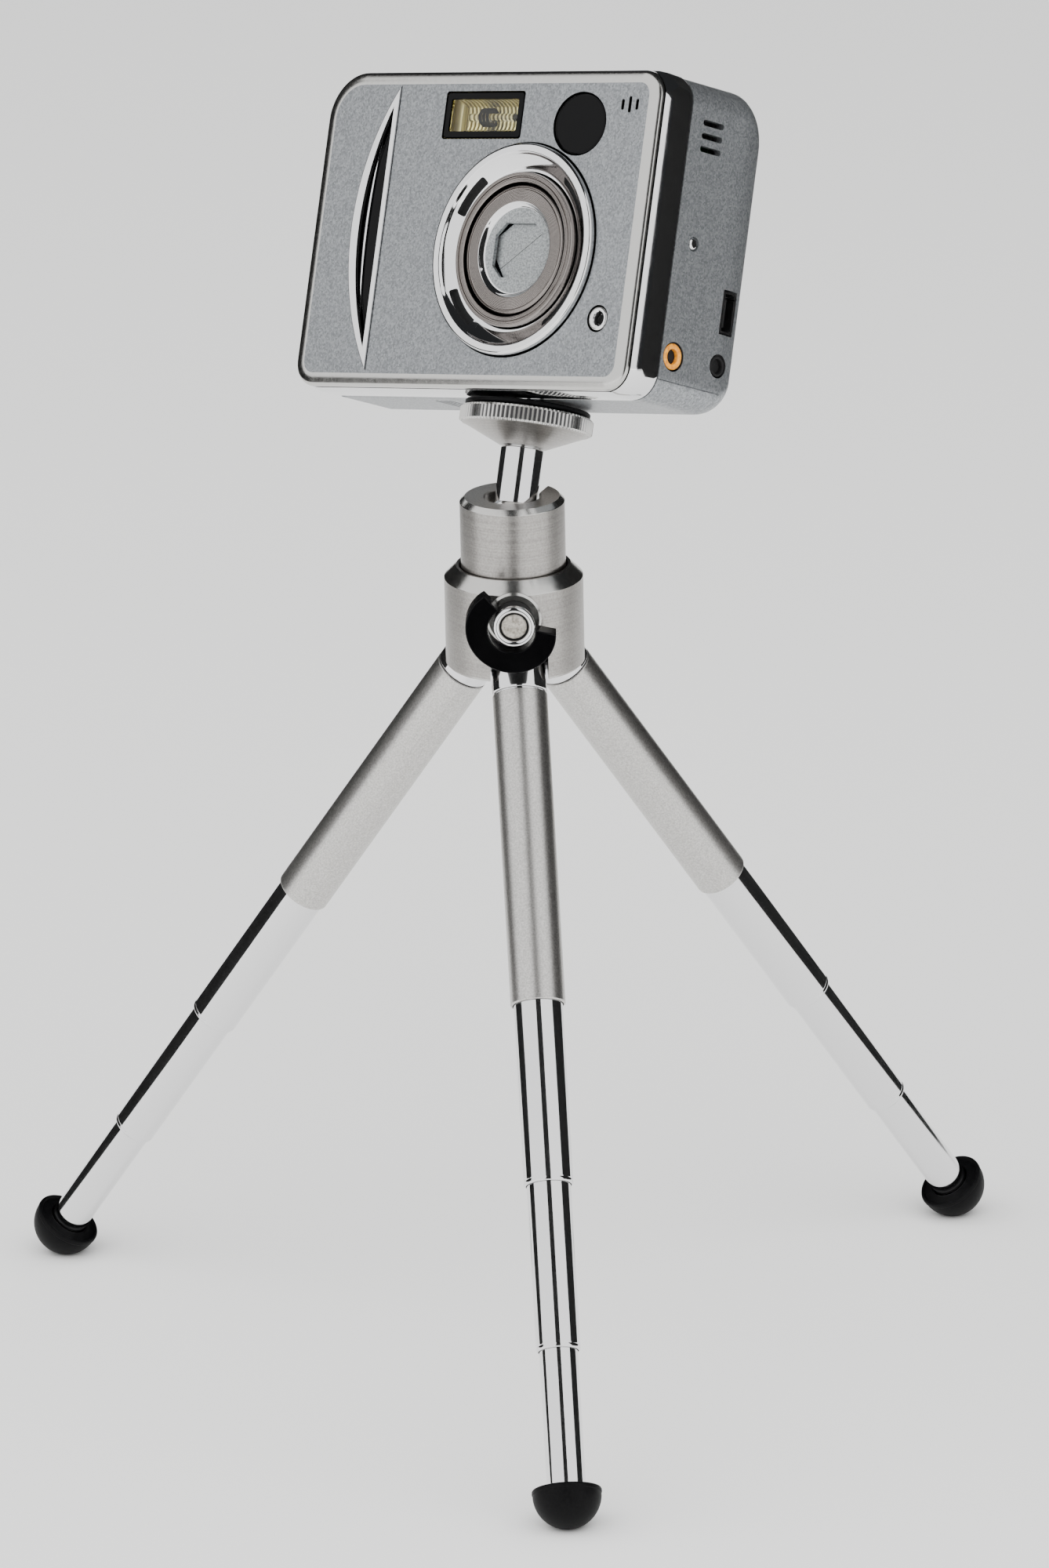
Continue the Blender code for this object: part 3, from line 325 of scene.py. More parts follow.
def circuit_board(place):
    """Green solder mask over copper tracks about 1 mm wide."""
    return patterned("Circuit board", place, "#0F5A2C", 0.0, 0.35, {"Scale": 0.3}, "TexVoronoi", "Distance",
                     shades=("#2F8A4C", "#0C4824", 0.05, 0.12), more={"IOR": 1.5}, feature="DISTANCE_TO_EDGE")


def cell_sleeve(place):
    """Printed foil sleeve of a dry cell: dark grey with a copper-coloured end."""
    made, tree, shader, where = look("Cell sleeve", place, "#3B4048", 0.7, 0.3)
    height = add(tree, "SeparateXYZ", links={"Vector": where}).outputs["Y"]
    ends = add(tree, "MapRange", {"From Min": 38.0, "From Max": 38.4}, {"Value": height})
    shade(tree, shader, ends.outputs["Result"], "#30353D", "#B4713C", 0.4, 0.6)
    return made


# ---- modelling helpers ---------------------------------------------------------------------------
def moved(x=0.0, y=0.0, z=0.0, turn=0.0, axis="Z"):
    """A shift in millimetres after a turn in degrees."""
    return Matrix.Translation((x, y, z)) @ Matrix.Rotation(radians(turn), 4, axis)


def about(middle, half):
    """The range that reaches a half length to both sides of its middle."""
    return middle - half, middle + half


def lathe(profile, steps=96, closed=False, place=None):
    """Spin (radius, height) points right round Z."""
    bm = bmesh.new()
    verts = [bm.verts.new((radius, 0, height)) for radius, height in profile]
    edges = [bm.edges.new(pair) for pair in zip(verts, verts[1:])]
    if closed:
        edges.append(bm.edges.new((verts[-1], verts[0])))
    bmesh.ops.spin(bm, geom=verts + edges, cent=(0, 0, 0), axis=(0, 0, 1), dvec=(0, 0, 0),
                   angle=2 * pi, steps=steps, use_merge=True)
    bmesh.ops.remove_doubles(bm, verts=bm.verts, dist=1e-4)
    bmesh.ops.delete(bm, geom=[edge for edge in bm.edges if not edge.link_faces], context="EDGES")
    if place:
        bmesh.ops.transform(bm, matrix=place, verts=bm.verts)
    return bm


def arc(centre, radius, start, end, steps=6):
    """Points of a rounded corner in a profile, angles in degrees from the radius direction."""
    angles = [radians(start + (end - start) * i / steps) for i in range(steps + 1)]
    return [(centre[0] + radius * cos(a), centre[1] + radius * sin(a)) for a in angles]


def swept(radii, angle, steps, z=0.0):
    """A flat part of a ring, swept from the X axis."""
    bm = bmesh.new()
    verts = [bm.verts.new((radius, 0, z)) for radius in radii]
    bmesh.ops.spin(bm, geom=verts + [bm.edges.new(verts)], cent=(0, 0, 0), axis=(0, 0, 1),
                   dvec=(0, 0, 0), angle=angle, steps=steps)
    return bm


def sharp_edges(bm, angle):
    """The edges whose two faces meet at more than an angle in degrees."""
    return [edge for edge in bm.edges if len(edge.link_faces) == 2
            and edge.calc_face_angle(0) > radians(angle)]


def edges_along(bm, axis, least=1.0):
    """The edges whose ends lie apart on an axis."""
    return [edge for edge in bm.edges
            if abs(edge.verts[0].co[axis] - edge.verts[1].co[axis]) > least]


def bevel(bm, edges, width, segments=2):
    """Round edges off to a width."""
    bmesh.ops.bevel(bm, geom=edges, offset=width, offset_type="OFFSET", segments=segments, profile=0.5,
                    affect="EDGES", material=-1, clamp_overlap=True)


def soften(bm, width, segments=2, angle=40):
    """Round every edge that is sharper than an angle."""
    bevel(bm, sharp_edges(bm, angle), width, segments)


def block(x, y, z, radii=(), segments=10):
    """A block from three ranges, its edges along Z rounded from the top left one clockwise."""
    bm = bmesh.new()
    middle = Vector([(low + high) / 2 for low, high in (x, y, z)])
    size = Vector([high - low for low, high in (x, y, z)])
    bmesh.ops.create_cube(bm, size=1, matrix=Matrix.LocRotScale(middle, None, size))
    for corner, radius in zip(((x[0], y[1]), (x[1], y[1]), (x[1], y[0]), (x[0], y[0])), radii):
        edges = [edge for edge in bm.edges
                 if all((vert.co.xy - Vector(corner)).length < 1e-4 for vert in edge.verts)]
        bevel(bm, edges, radius, segments)
    return bm


def body_block(edge, z):
    """A block with the camera's outline, drawn in by an edge."""
    return block((LEFT + edge, RIGHT - edge), (edge, HEIGHT - edge), z,
                 [radius - edge for radius in CORNERS], 14)


def pane(centre, size, z, radius=0.6, grow=0.0, segments=4):
    """A rounded rectangle by its centre and size, drawn out along Z."""
    return block(about(centre[0], size[0] / 2 + grow), about(centre[1], size[1] / 2 + grow),
                 z, (radius,) * 4, segments)


def rod(radius, low, high, place=None, radius_y=None, segments=48):
    """A round or oval rod along Z."""
    bm = bmesh.new()
    bmesh.ops.create_cone(bm, cap_ends=True, segments=segments, radius1=1, radius2=1, depth=high - low,
                          matrix=(place or Matrix()) @ Matrix.LocRotScale(
                              (0, 0, (low + high) / 2), None, (radius, radius_y or radius, 1)))
    return bm


def bow(edge, bulge, ends, z, grow=0.0):
    """A straight right edge and an arc that swells to the left, drawn out along Z."""
    half = (ends[1] - ends[0]) / 2
    radius = (half * half + bulge * bulge) / (2 * bulge)
    bm = bmesh.new()
    bmesh.ops.create_circle(bm, cap_ends=True, radius=radius + grow, segments=400, matrix=moved(
        edge - bulge + radius, (ends[0] + ends[1]) / 2, z[0]))
    bmesh.ops.bisect_plane(bm, geom=bm.verts[:] + bm.edges[:] + bm.faces[:],
                           plane_co=(edge + grow, 0, 0), plane_no=(1, 0, 0), clear_outer=True)
    raised(bm, bm.faces[:], z[1] - z[0])
    return bm


def raised(bm, faces, height):
    """Draw faces out along Z and return what was drawn, vertices and faces."""
    made = bmesh.ops.extrude_face_region(bm, geom=faces)["geom"]
    verts = [e for e in made if isinstance(e, bmesh.types.BMVert)]
    bmesh.ops.translate(bm, vec=(0, 0, height), verts=verts)
    return verts, [e for e in made if isinstance(e, bmesh.types.BMFace)]


def end_face(bm, side=1):
    """The flat face furthest along Z, or furthest back."""
    return max(bm.faces, key=lambda face: side * face.calc_center_median().z + face.calc_area() * 1e-6)


def draw_in(bm, face, width, depth, even=True):
    """Draw a face's rim in by a width, and the face out by a depth."""
    bmesh.ops.inset_region(bm, faces=[face], thickness=width, depth=depth, use_even_offset=even)


def crown(bm, face, width, rise, steps=6, even=True):
    """Round a face's rim to a quarter ellipse by drawing the face in and out in steps."""
    for i in range(steps):
        one, two = pi / 2 * i / steps, pi / 2 * (i + 1) / steps
        draw_in(bm, face, width * (cos(one) - cos(two)), rise * (sin(two) - sin(one)), even)


def together(*shapes):
    """Put several shapes into the first."""
    first, *others = shapes
    for shape in others:
        mesh = bpy.data.meshes.new("shape")
        shape.to_mesh(mesh)
        shape.free()
        first.from_mesh(mesh)
        bpy.data.meshes.remove(mesh)
    return first


def as_object(name, bm):
    """Turn a shape into an object in the scene."""
    mesh = bpy.data.meshes.new(name)
    bm.to_mesh(mesh)
    bm.free()
    made = bpy.data.objects.new(name, mesh)
    bpy.context.scene.collection.objects.link(made)
    return made


def carve(bm, tool, operation="DIFFERENCE"):
    """Cut one closed shape with another and return what is left."""
    for shape in (bm, tool):
        bmesh.ops.recalc_face_normals(shape, faces=shape.faces)
    pair = [as_object("shape", shape) for shape in (bm, tool)]
    boolean = pair[0].modifiers.new("carve", "BOOLEAN")
    boolean.object, boolean.operation, boolean.solver = pair[1], operation, "EXACT"
    left = bmesh.new()
    left.from_object(pair[0], bpy.context.evaluated_depsgraph_get())
    for made in pair:
        mesh = made.data
        bpy.data.objects.remove(made)
        bpy.data.meshes.remove(mesh)
    return left


def tint(bm, test, index=1):
    """Give the faces that pass a test another material."""
    for face in bm.faces:
        if test(face.calc_center_median(), face.normal):
            face.material_index = index


def piece(name, bm, finishes, nodes=(), place=CAMERA, body="camera", sharp=32, flat=True):
    """Turn a shape in millimetres into a piece that rides on its body and stands for CAD nodes."""
    bmesh.ops.recalc_face_normals(bm, faces=bm.faces)
    bmesh.ops.transform(bm, matrix=place, verts=bm.verts)
    made = as_object(name, bm)
    made.data.shade_smooth()
    made.data.set_sharp_from_angle(angle=radians(sharp))
    for finish in finishes if isinstance(finishes, list) else [finishes]:
        made.data.materials.append(finish(place) if callable(finish) else finish)
    if flat:
        weighted = made.modifiers.new("even shading", "WEIGHTED_NORMAL")
        weighted.keep_sharp = True
    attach(made, body)
    if nodes:
        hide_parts(*nodes)


def repaint(finish, *nodes):
    """Give the parts that keep their own shape a finish."""
    for name in nodes:
        mesh = frame["nodes"][name].data
        mesh.materials.clear()
        mesh.materials.append(finish)


# ---- settings ------------------------------------------------------------------------------------
class CameraLooks(bpy.types.PropertyGroup):
    """Sizes and colours of the camera's surfaces."""
    rim_width: FloatProperty(
        name="Rim width", description="Width of the front cover's polished rim", default=0.0024,
        min=0.0005, max=0.004, unit="LENGTH")
    ring_slot_span: FloatProperty(
        name="Ring slot span", description="Angle that each slot in the lens ring spans",
        default=radians(30), min=radians(5), max=radians(60), subtype="ANGLE")
    lacquer_dark: FloatVectorProperty(
        name="Dark flakes", description="Darkest flakes in the silver lacquer",
        default=linear("#7C7F82")[:3], size=3, min=0, max=1, subtype="COLOR")
    lacquer_light: FloatVectorProperty(
        name="Light flakes", description="Brightest flakes in the silver lacquer",
        default=linear("#A3A6A9")[:3], size=3, min=0, max=1, subtype="COLOR")


class TripodLooks(bpy.types.PropertyGroup):
    """Sizes of the tripod's surfaces."""
    knurls: IntProperty(
        name="Knurls", description="Ridges round the locking disc", default=88, min=20, max=200)
    turns: IntProperty(
        name="Roundness", description="Steps round a leg's tubes", default=96, min=24, max=256)


class CameraOperator(bpy.types.Operator):
    """Base of the operators that build one group of pieces."""
    bl_options = {"REGISTER", "UNDO"}


# ---- camera operators ----------------------------------------------------------------------------
class MINICAM_OT_front_cover(CameraOperator):
    """Build the front cover with its polished rim and its openings"""
    bl_idname = "minicam.front_cover"
    bl_label = "Front Cover"

    def execute(self, context):
        drop = 1.0
        bm = body_block(0.68, (COVER_BACK, FACE - drop))
        crown(bm, end_face(bm), context.scene.minicam_camera.rim_width / MM, drop)
        through = (COVER_BACK - 1, FACE + 1)
        tools = [pane((MICROPHONE[0] + side * 1.75, MICROPHONE[1]), (0.7, 2.0 if side else 3.0), through, 0.3)
                 for side in (-1, 0, 1)]
        bm = carve(bm, together(
            rod(RING + GAP, *through, moved(*LENS), segments=96), pane(FLASH, FLASH_SIZE, through, 0.6, GAP),
            rod(FINDER_RADII[0] + GAP, *through, moved(*FINDER), FINDER_RADII[1] + GAP, 72),
            rod(LAMP_RADIUS + GAP, *through, moved(*LAMP)),
            bow(GRIP_EDGE, GRIP_BULGE, GRIP_ENDS, through, 0.1), *tools))
        tint(bm, lambda at, normal: not (normal.z > 0.9999 and at.z > FACE - 0.01))
        piece("front_cover_skin", bm, [sprayed_silver, polished_rim], ["front_cover"],
              sharp=24)
        return {"FINISHED"}


class MINICAM_OT_trim_band(CameraOperator):
    """Build the chrome band between the two covers"""
    bl_idname = "minicam.trim_band"
    bl_label = "Trim Band"

    def execute(self, context):
        wall, straight = 1.9, (6.3, 9.2)
        bm = body_block(0.1, straight)
        front = end_face(bm)
        draw_in(bm, front, 0.15, 1.6)
        draw_in(bm, front, 0.35, 1.5)
        draw_in(bm, end_face(bm, -1), 0.3, 1.0)
        bm = carve(bm, body_block(wall, (TRIM_BACK - 1, TRIM_FRONT + 1)))
        piece("trim_band_skin", bm, bright_chrome, ["trim_band"], sharp=50)
        return {"FINISHED"}


def rear_form(inset, front):
    """The rear half of the body, drawn in all round, with its top, bottom and sides rounded off behind."""
    shy, depth, steps = 0.4, 6.0, 9
    side, bottom, top = 1.8 - shy, 3.4 - shy, 7.5 - shy
    edge = shy + inset
    old = LEFT + edge, RIGHT - edge, edge, HEIGHT - edge
    bm = body_block(edge, (REAR + depth, front))
    face = end_face(bm, -1)
    for i in range(1, steps + 1):
        angle = pi / 2 * i / steps
        gone = 1 - cos(angle)
        new = (LEFT + edge + side * gone, RIGHT - edge - side * gone,
               edge + bottom * gone, HEIGHT - edge - top * gone)
        step = (sin(angle) - sin(pi / 2 * (i - 1) / steps)) * (depth - inset)
        verts, (face,) = raised(bm, [face], -step)
        for axis in (0, 1):
            low, high, was_low, was_high = *new[2 * axis:2 * axis + 2], *old[2 * axis:2 * axis + 2]
            scale, shift = [1.0] * 4, Vector((0, 0, 0))
            scale[axis] = (high - low) / (was_high - was_low)
            shift[axis] = low - was_low * scale[axis]
            bmesh.ops.transform(bm, matrix=Matrix.Translation(shift) @ Matrix.Diagonal(scale), verts=verts)
        old = new
    bmesh.ops.delete(bm, geom=[f for f in bm.faces if len(f.verts) > 4 and f is not face
                               and abs(f.normal.z) > 0.99 and f.calc_center_median().z < front - 0.1],
                     context="FACES")
    return bm


class MINICAM_OT_rear_cover(CameraOperator):
    """Build the rear cover, hollow, with its sockets, slots and button openings"""
    bl_idname = "minicam.rear_cover"
    bl_label = "Rear Cover"

    def execute(self, context):
        side = (RIGHT - 4, RIGHT + 1)
        back = (REAR - 1, REAR + WALL + 2.5)
        under = (-1, WALL + 1.4)
        tools = [block(side, about(z, 0.55), (-3.8, 1.8)) for z in SLOT_HEIGHTS]
        for tool in tools:
            bevel(tool, edges_along(tool, 0), 0.53, 4)
        for up, forward, radius in (PHONO, POWER_INLET):
            tools.append(rod(radius + GAP, *side, moved(0, up, forward, 90, "Y")))
        tools.append(block(side, about(DATA_PORT[0], 4.1), about(DATA_PORT[1], 2.0)))
        tools.append(rod(SCREW_HOLE, RIGHT - 1.2, RIGHT + 1, moved(0, *SIDE_SCREW, 90, "Y")))
        for x in ((RIGHT - 0.75, RIGHT + 1), (LEFT - 1, LEFT + 0.75)):
            tools.append(block(x, about(SIDE_LINE, 0.12), (REAR + 0.9, REAR_FRONT - 0.02)))
        tools.append(pane(SCREEN, SCREEN_SIZE, back, 1.5, GAP, 6))
        tools.append(pane(ROCKER, ROCKER_SIZE, back, 2.5, GAP, 8))
        tools.append(rod(PAD_RADIUS + GAP, *back, moved(*PAD), segments=72))
        for x, radius in (SHUTTER, POWER):
            tools.append(rod(radius + GAP, HEIGHT - WALL - 1, HEIGHT + 1,
                             moved(x, 0, -BUTTON_DEPTH, -90, "X")))
        tools.append(rod(BUSH_HOLE, *under, moved(turn=-90, axis="X")))
        tools.append(block((DOOR_X[0] - GAP, DOOR_X[1] + GAP), under,
                           (DOOR_DEPTH[0] - GAP, DOOR_DEPTH[1] + GAP)))
        bm = carve(rear_form(0.0, REAR_FRONT), rear_form(WALL, REAR_FRONT + 2))
        bm = carve(bm, together(*tools))
        piece("rear_cover_skin", bm, sprayed_silver, ["rear_cover"], sharp=28)
        return {"FINISHED"}


class MINICAM_OT_grip(CameraOperator):
    """Build the chrome crescent and the black leaf set into it"""
    bl_idname = "minicam.grip"
    bl_label = "Grip Crescent"

    def execute(self, context):
        bm = bow(GRIP_EDGE, GRIP_BULGE, GRIP_ENDS, (13.2, 14.2))
        crown(bm, end_face(bm), 0.25, 0.2, 2, False)
        bm = carve(bm, bow(LEAF_EDGE, LEAF_BULGE, LEAF_ENDS, (11, 16), GAP))
        piece("grip_crescent", bm, bright_chrome, ["grip_trim"], sharp=24)
        bm = bow(LEAF_EDGE, LEAF_BULGE, LEAF_ENDS, (12.0, 13.2))
        crown(bm, end_face(bm), 0.5, 0.25, 3, False)
        piece("grip_leaf", bm, black_gloss, ["grip_insert"])
        edge, ends = LEAF_EDGE - 1.9, (LEAF_ENDS[0] + 3.4, LEAF_ENDS[1] - 3.4)
        bm = carve(bow(edge, 1.7, ends, (13.3, 13.75)), bow(edge, 1.25, ends, (13, 15), 0.02))
        piece("grip_rib", bm, bright_chrome)
        return {"FINISHED"}


class MINICAM_OT_flash(CameraOperator):
    """Build the flash: frame, reflector, tube and window"""
    bl_idname = "minicam.flash"
    bl_label = "Flash"

    def execute(self, context):
        bm = pane(FLASH, FLASH_SIZE, (COVER_BACK + 0.5, FACE), 0.6)
        soften(bm, 0.15, 2, 60)
        bm = carve(bm, pane(FLASH, FLASH_SIZE, (COVER_BACK - 1, FACE + 1), 0.3, -1.15))
        piece("flash_frame", bm, black_gloss)
        bm = pane(FLASH, FLASH_SIZE, (COVER_BACK + 0.45, FACE - 0.35), 0.3, -1.2)
        piece("flash_pane", bm, clear_acrylic, ["flash_window"])
        bm = block(about(FLASH[0], FLASH_SIZE[0] / 2), about(FLASH[1], FLASH_SIZE[1] / 2),
                   (COVER_BACK - 3.2, COVER_BACK + 0.2))
        mouth = end_face(bm)
        for width, depth in ((1.1, 0.0), (0.35, -1.5), (0.6, -0.9), (0.7, -0.25)):
            draw_in(bm, mouth, width, depth)
        piece("flash_bowl", bm, reflector_foil, ["flash_reflector"])
        tube, half = (FLASH[1], COVER_BACK - 1.3, 90, "Y"), 5.6
        bm = rod(0.75, -half, half, moved(FLASH[0], *tube), segments=32)
        piece("flash_tube", bm, clear_acrylic)
        bm = together(*[lathe(arc((1.5, 0), 0.3, 0, 360, 12)[:-1], 24, True, moved(FLASH[0] + x, *tube))
                        for x in (-1.8, -0.9, 0.0)])
        piece("flash_trigger_wire", bm, black_gloss)
        return {"FINISHED"}


class MINICAM_OT_finder_lamp(CameraOperator):
    """Build the finder window and the self-timer lamp"""
    bl_idname = "minicam.finder_lamp"
    bl_label = "Finder and Lamp"

    def execute(self, context):
        bm = rod(FINDER_RADII[0], COVER_BACK - 0.6, FACE - 0.35, moved(*FINDER), FINDER_RADII[1], 96)
        crown(bm, end_face(bm), 0.5, 0.2, 3)
        piece("finder_window", bm, black_gloss, ["viewfinder_window"])
        place = moved(*LAMP, COVER_BACK)
        bm = lathe([(0, -0.6), (LAMP_RADIUS, -0.6), *arc((LAMP_RADIUS - 0.5, 1.0), 0.5, 0, 90),
                    (1.25, 1.35), (1.05, 0.9), (1.0, 0.2), (0, 0.2)], 64, place=place)
        piece("lamp_ring", bm, bright_chrome, ["timer_lamp"])
        bm = lathe([(0, 0.65), (0.5, 0.6), (0.95, 0.3), (0.95, 0.25), (0, 0.25)], 32, place=place)
        piece("lamp_lens", bm, black_gloss)
        return {"FINISHED"}


class MINICAM_OT_lens_ring(CameraOperator):
    """Build the chrome lens ring with its four slots"""
    bl_idname = "minicam.lens_ring"
    bl_label = "Lens Ring"

    def execute(self, context):
        span = context.scene.minicam_camera.ring_slot_span
        bore = BARREL + GAP
        bm = lathe([(bore, -6.0), (bore, -0.9), (bore + 0.35, -0.95), (bore + 0.8, -0.75), (16.4, -0.1),
                    (17.3, 0.55), (17.55, 0.8), (17.75, 1.15), *arc((18.1, 1.0), 0.35, 135, 80, 3),
                    (18.75, 1.4), *arc((18.9, 0.75), 0.65, 80, 10, 6), (RING, 0.5), (RING, -2.0),
                    (RING - 2.5, -2.0), (RING - 2.5, -6.0)], 160, True, moved(*LENS, FACE))
        slots = []
        for middle in (38, 142, 222, 318):
            slot = swept((15.5, 16.9), span, 20)
            raised(slot, slot.faces[:], 4.0)
            bevel(slot, [edge for edge in edges_along(slot, 2) if edge.calc_face_angle(0) > 1], 0.62, 5)
            bmesh.ops.transform(slot, verts=slot.verts, matrix=moved(*LENS, FACE - 1.1)
                                @ Matrix.Rotation(radians(middle) - span / 2, 4, "Z"))
            slots.append(slot)
        bm = carve(bm, together(*slots))
        # The floors of the slots take the dark finish: painted shade at the bottom of each slot.
        tint(bm, lambda at, normal: FACE - 1.2 < at.z < FACE - 1.0 and normal.z > 0.9
             and 15.3 < (at.xy - Vector(LENS)).length < 17.1)
        piece("lens_ring_skin", bm, [bright_chrome, dark_hole], ["lens_ring"], sharp=40)
        return {"FINISHED"}


class MINICAM_OT_lens_barrels(CameraOperator):
    """Build the two lens barrels and the glass behind the blades"""
    bl_idname = "minicam.lens_barrels"
    bl_label = "Lens Barrels"

    def execute(self, context):
        place = CAMERA @ moved(*LENS, FACE)
        back = -16.5
        inner = BARREL - 1.9
        bm = lathe([(inner, back), (inner, 0.3), *arc((inner + 0.25, 0.3), 0.25, 180, 90, 3), (13.2, 0.55),
                    (13.3, 0.35), (13.5, 0.35), (13.6, 0.6), *arc((BARREL - 0.35, 0.3), 0.35, 90, 0, 4),
                    (BARREL, back)], 128, True)
        piece("outer_barrel", bm, turned_barrel, ["lens_barrel_outer"], place, "barrel_outer",
              40)
        wall = INNER_BARREL - 0.8
        bm = lathe([(0, -0.6), (RECESS - 0.5, -0.6), (RECESS - 0.2, -0.45), (RECESS + 0.25, 0.15),
                    (RECESS + 0.45, 0.35), (RECESS + 0.6, 0.4), (11.1, 0.28), (11.25, 0.1), (11.4, 0.1),
                    (11.5, 0.25), (11.75, 0.2), (INNER_BARREL, -0.1), (INNER_BARREL, back), (wall, back),
                    (wall, -1.4), (0, -1.4)], 128)
        opening = block((-5.85, 5.85), (-5.0, 5.0), (-3, 2))
        bevel(opening, edges_along(opening, 2), 2.2, 1)
        bm = carve(bm, opening)
        bevel(bm, [edge for edge in sharp_edges(bm, 60)
                   if all(abs(v.co.z + 0.6) < 0.01 and v.co.xy.length < 7.5 for v in edge.verts)], 0.35, 2)
        tint(bm, lambda at, normal: at.xy.length < RECESS - 0.4 and at.z > -1.2)
        tint(bm, lambda at, normal: at.xy.length < RECESS - 0.6 and -0.95 < at.z < -0.61
             and normal.z < 0.95, 2)
        tint(bm, lambda at, normal: RECESS - 0.4 < at.xy.length < RECESS + 0.5 and at.z > -0.7, 2)
        piece("inner_barrel", bm, [turned_barrel, blade_steel(CAMERA), bright_chrome], ["lens_barrel_inner"],
              place, "barrel_inner", 40)
        radius, front, dome = 9.5, -2.3, 1.2
        angles = [pi / 2 * i / 8 for i in range(1, 9)]
        bm = lathe([(0, front), *[(radius * sin(a), front - dome * (1 - cos(a))) for a in angles],
                    (radius, -6.0), (0, -6.0)], 64)
        piece("lens_front_glass", bm, screen_glass, ["lens_glass"], place, "barrel_inner")
        return {"FINISHED"}


class MINICAM_OT_lens_blades(CameraOperator):
    """Build the two blades that cover the lens"""
    bl_idname = "minicam.lens_blades"
    bl_label = "Lens Blades"

    def execute(self, context):
        for name, turn in (("upper", 35), ("lower", 215)):
            bm = block((-5.8, 5.8), (0.05, 5.7), (-2.2, -1.7))
            corners = [edge for edge in edges_along(bm, 2, 0.3) if edge.verts[0].co.y > 5]
            bevel(bm, corners, 2.3, 1)
            soften(bm, 0.06, 1, 60)
            piece(f"blade_{name}_skin", bm, blade_steel(CAMERA), [f"lens_blade_{name}"],
                  CAMERA @ moved(*LENS, FACE, turn), f"blade_{name}")
        return {"FINISHED"}


class MINICAM_OT_side_sockets(CameraOperator):
    """Build the sockets and the screw on the camera's side"""
    bl_idname = "minicam.side_sockets"
    bl_label = "Side Sockets"

    def execute(self, context):
        face = RIGHT - 0.4
        for name, (up, forward, radius), hole, finish, node, slot in (
                ("phono_jack", PHONO, 1.4, jack_plastic, "av_jack", "jack_orange"),
                ("power_inlet", POWER_INLET, 1.35, dark_hole, "dc_jack", "black_plastic")):
            place = moved(face, up, forward, 90, "Y")
            bm = lathe([(0, -5.0), (hole, -5.0), (hole, -0.5), *arc((hole + 0.3, -0.35), 0.3, 180, 90, 3),
                        *arc((radius - 0.35, -0.4), 0.35, 90, 0, 4), (radius, -6.0), (0, -6.0)], 48,
                       place=place)
            piece(name, bm, finish, [node])
            # A dark rod fills each hole from 1 mm below its mouth: painted shade in the bore.
            bm = rod(hole - 0.02, face - 5, face - 1.0, moved(0, up, forward, 90, "Y"), segments=32)
            piece(name + "_bore_painted_shade", bm, dark_hole)
            near, far = radius + 0.03, radius + 0.28
            bm = lathe([(near, -0.9), (far, -0.9), (far, -0.1), (near, -0.25)], 48, True, place)
            piece(name + "_rim", bm, black_gloss)
        bm = lathe([(0, -1.2), (0.45, -1.25), (0.45, -4.9), (0, -4.9)], 24, place=place)
        piece("power_inlet_pin", bm, bright_chrome)
        up, forward = DATA_PORT
        shell = block((face - 6.0, face - 0.15), about(up, 3.8), about(forward, 1.7))
        hollow = block((face - 5.2, face + 1), about(up, 3.4), about(forward, 1.3))
        for bm, width in ((shell, 0.9), (hollow, 0.8)):
            bevel(bm, [edge for edge in edges_along(bm, 0) if all(v.co.z < forward for v in edge.verts)],
                  width, 2)
        piece("data_port_shell", carve(shell, hollow), bright_chrome, ["usb_port"])
        bm = block((face - 5.1, face - 1.2), about(up, 2.6), about(forward, 0.35))
        soften(bm, 0.12, 2)
        piece("data_port_tongue", bm, dark_hole)
        bm = lathe([(0, 0.05), *arc((0.55, -0.55), 0.6, 85, 0, 5), (1.15, -1.1), (0, -1.1)], 32,
                   place=moved(face, *SIDE_SCREW, 90, "Y"))
        piece("side_screw", bm, bright_chrome)
        return {"FINISHED"}


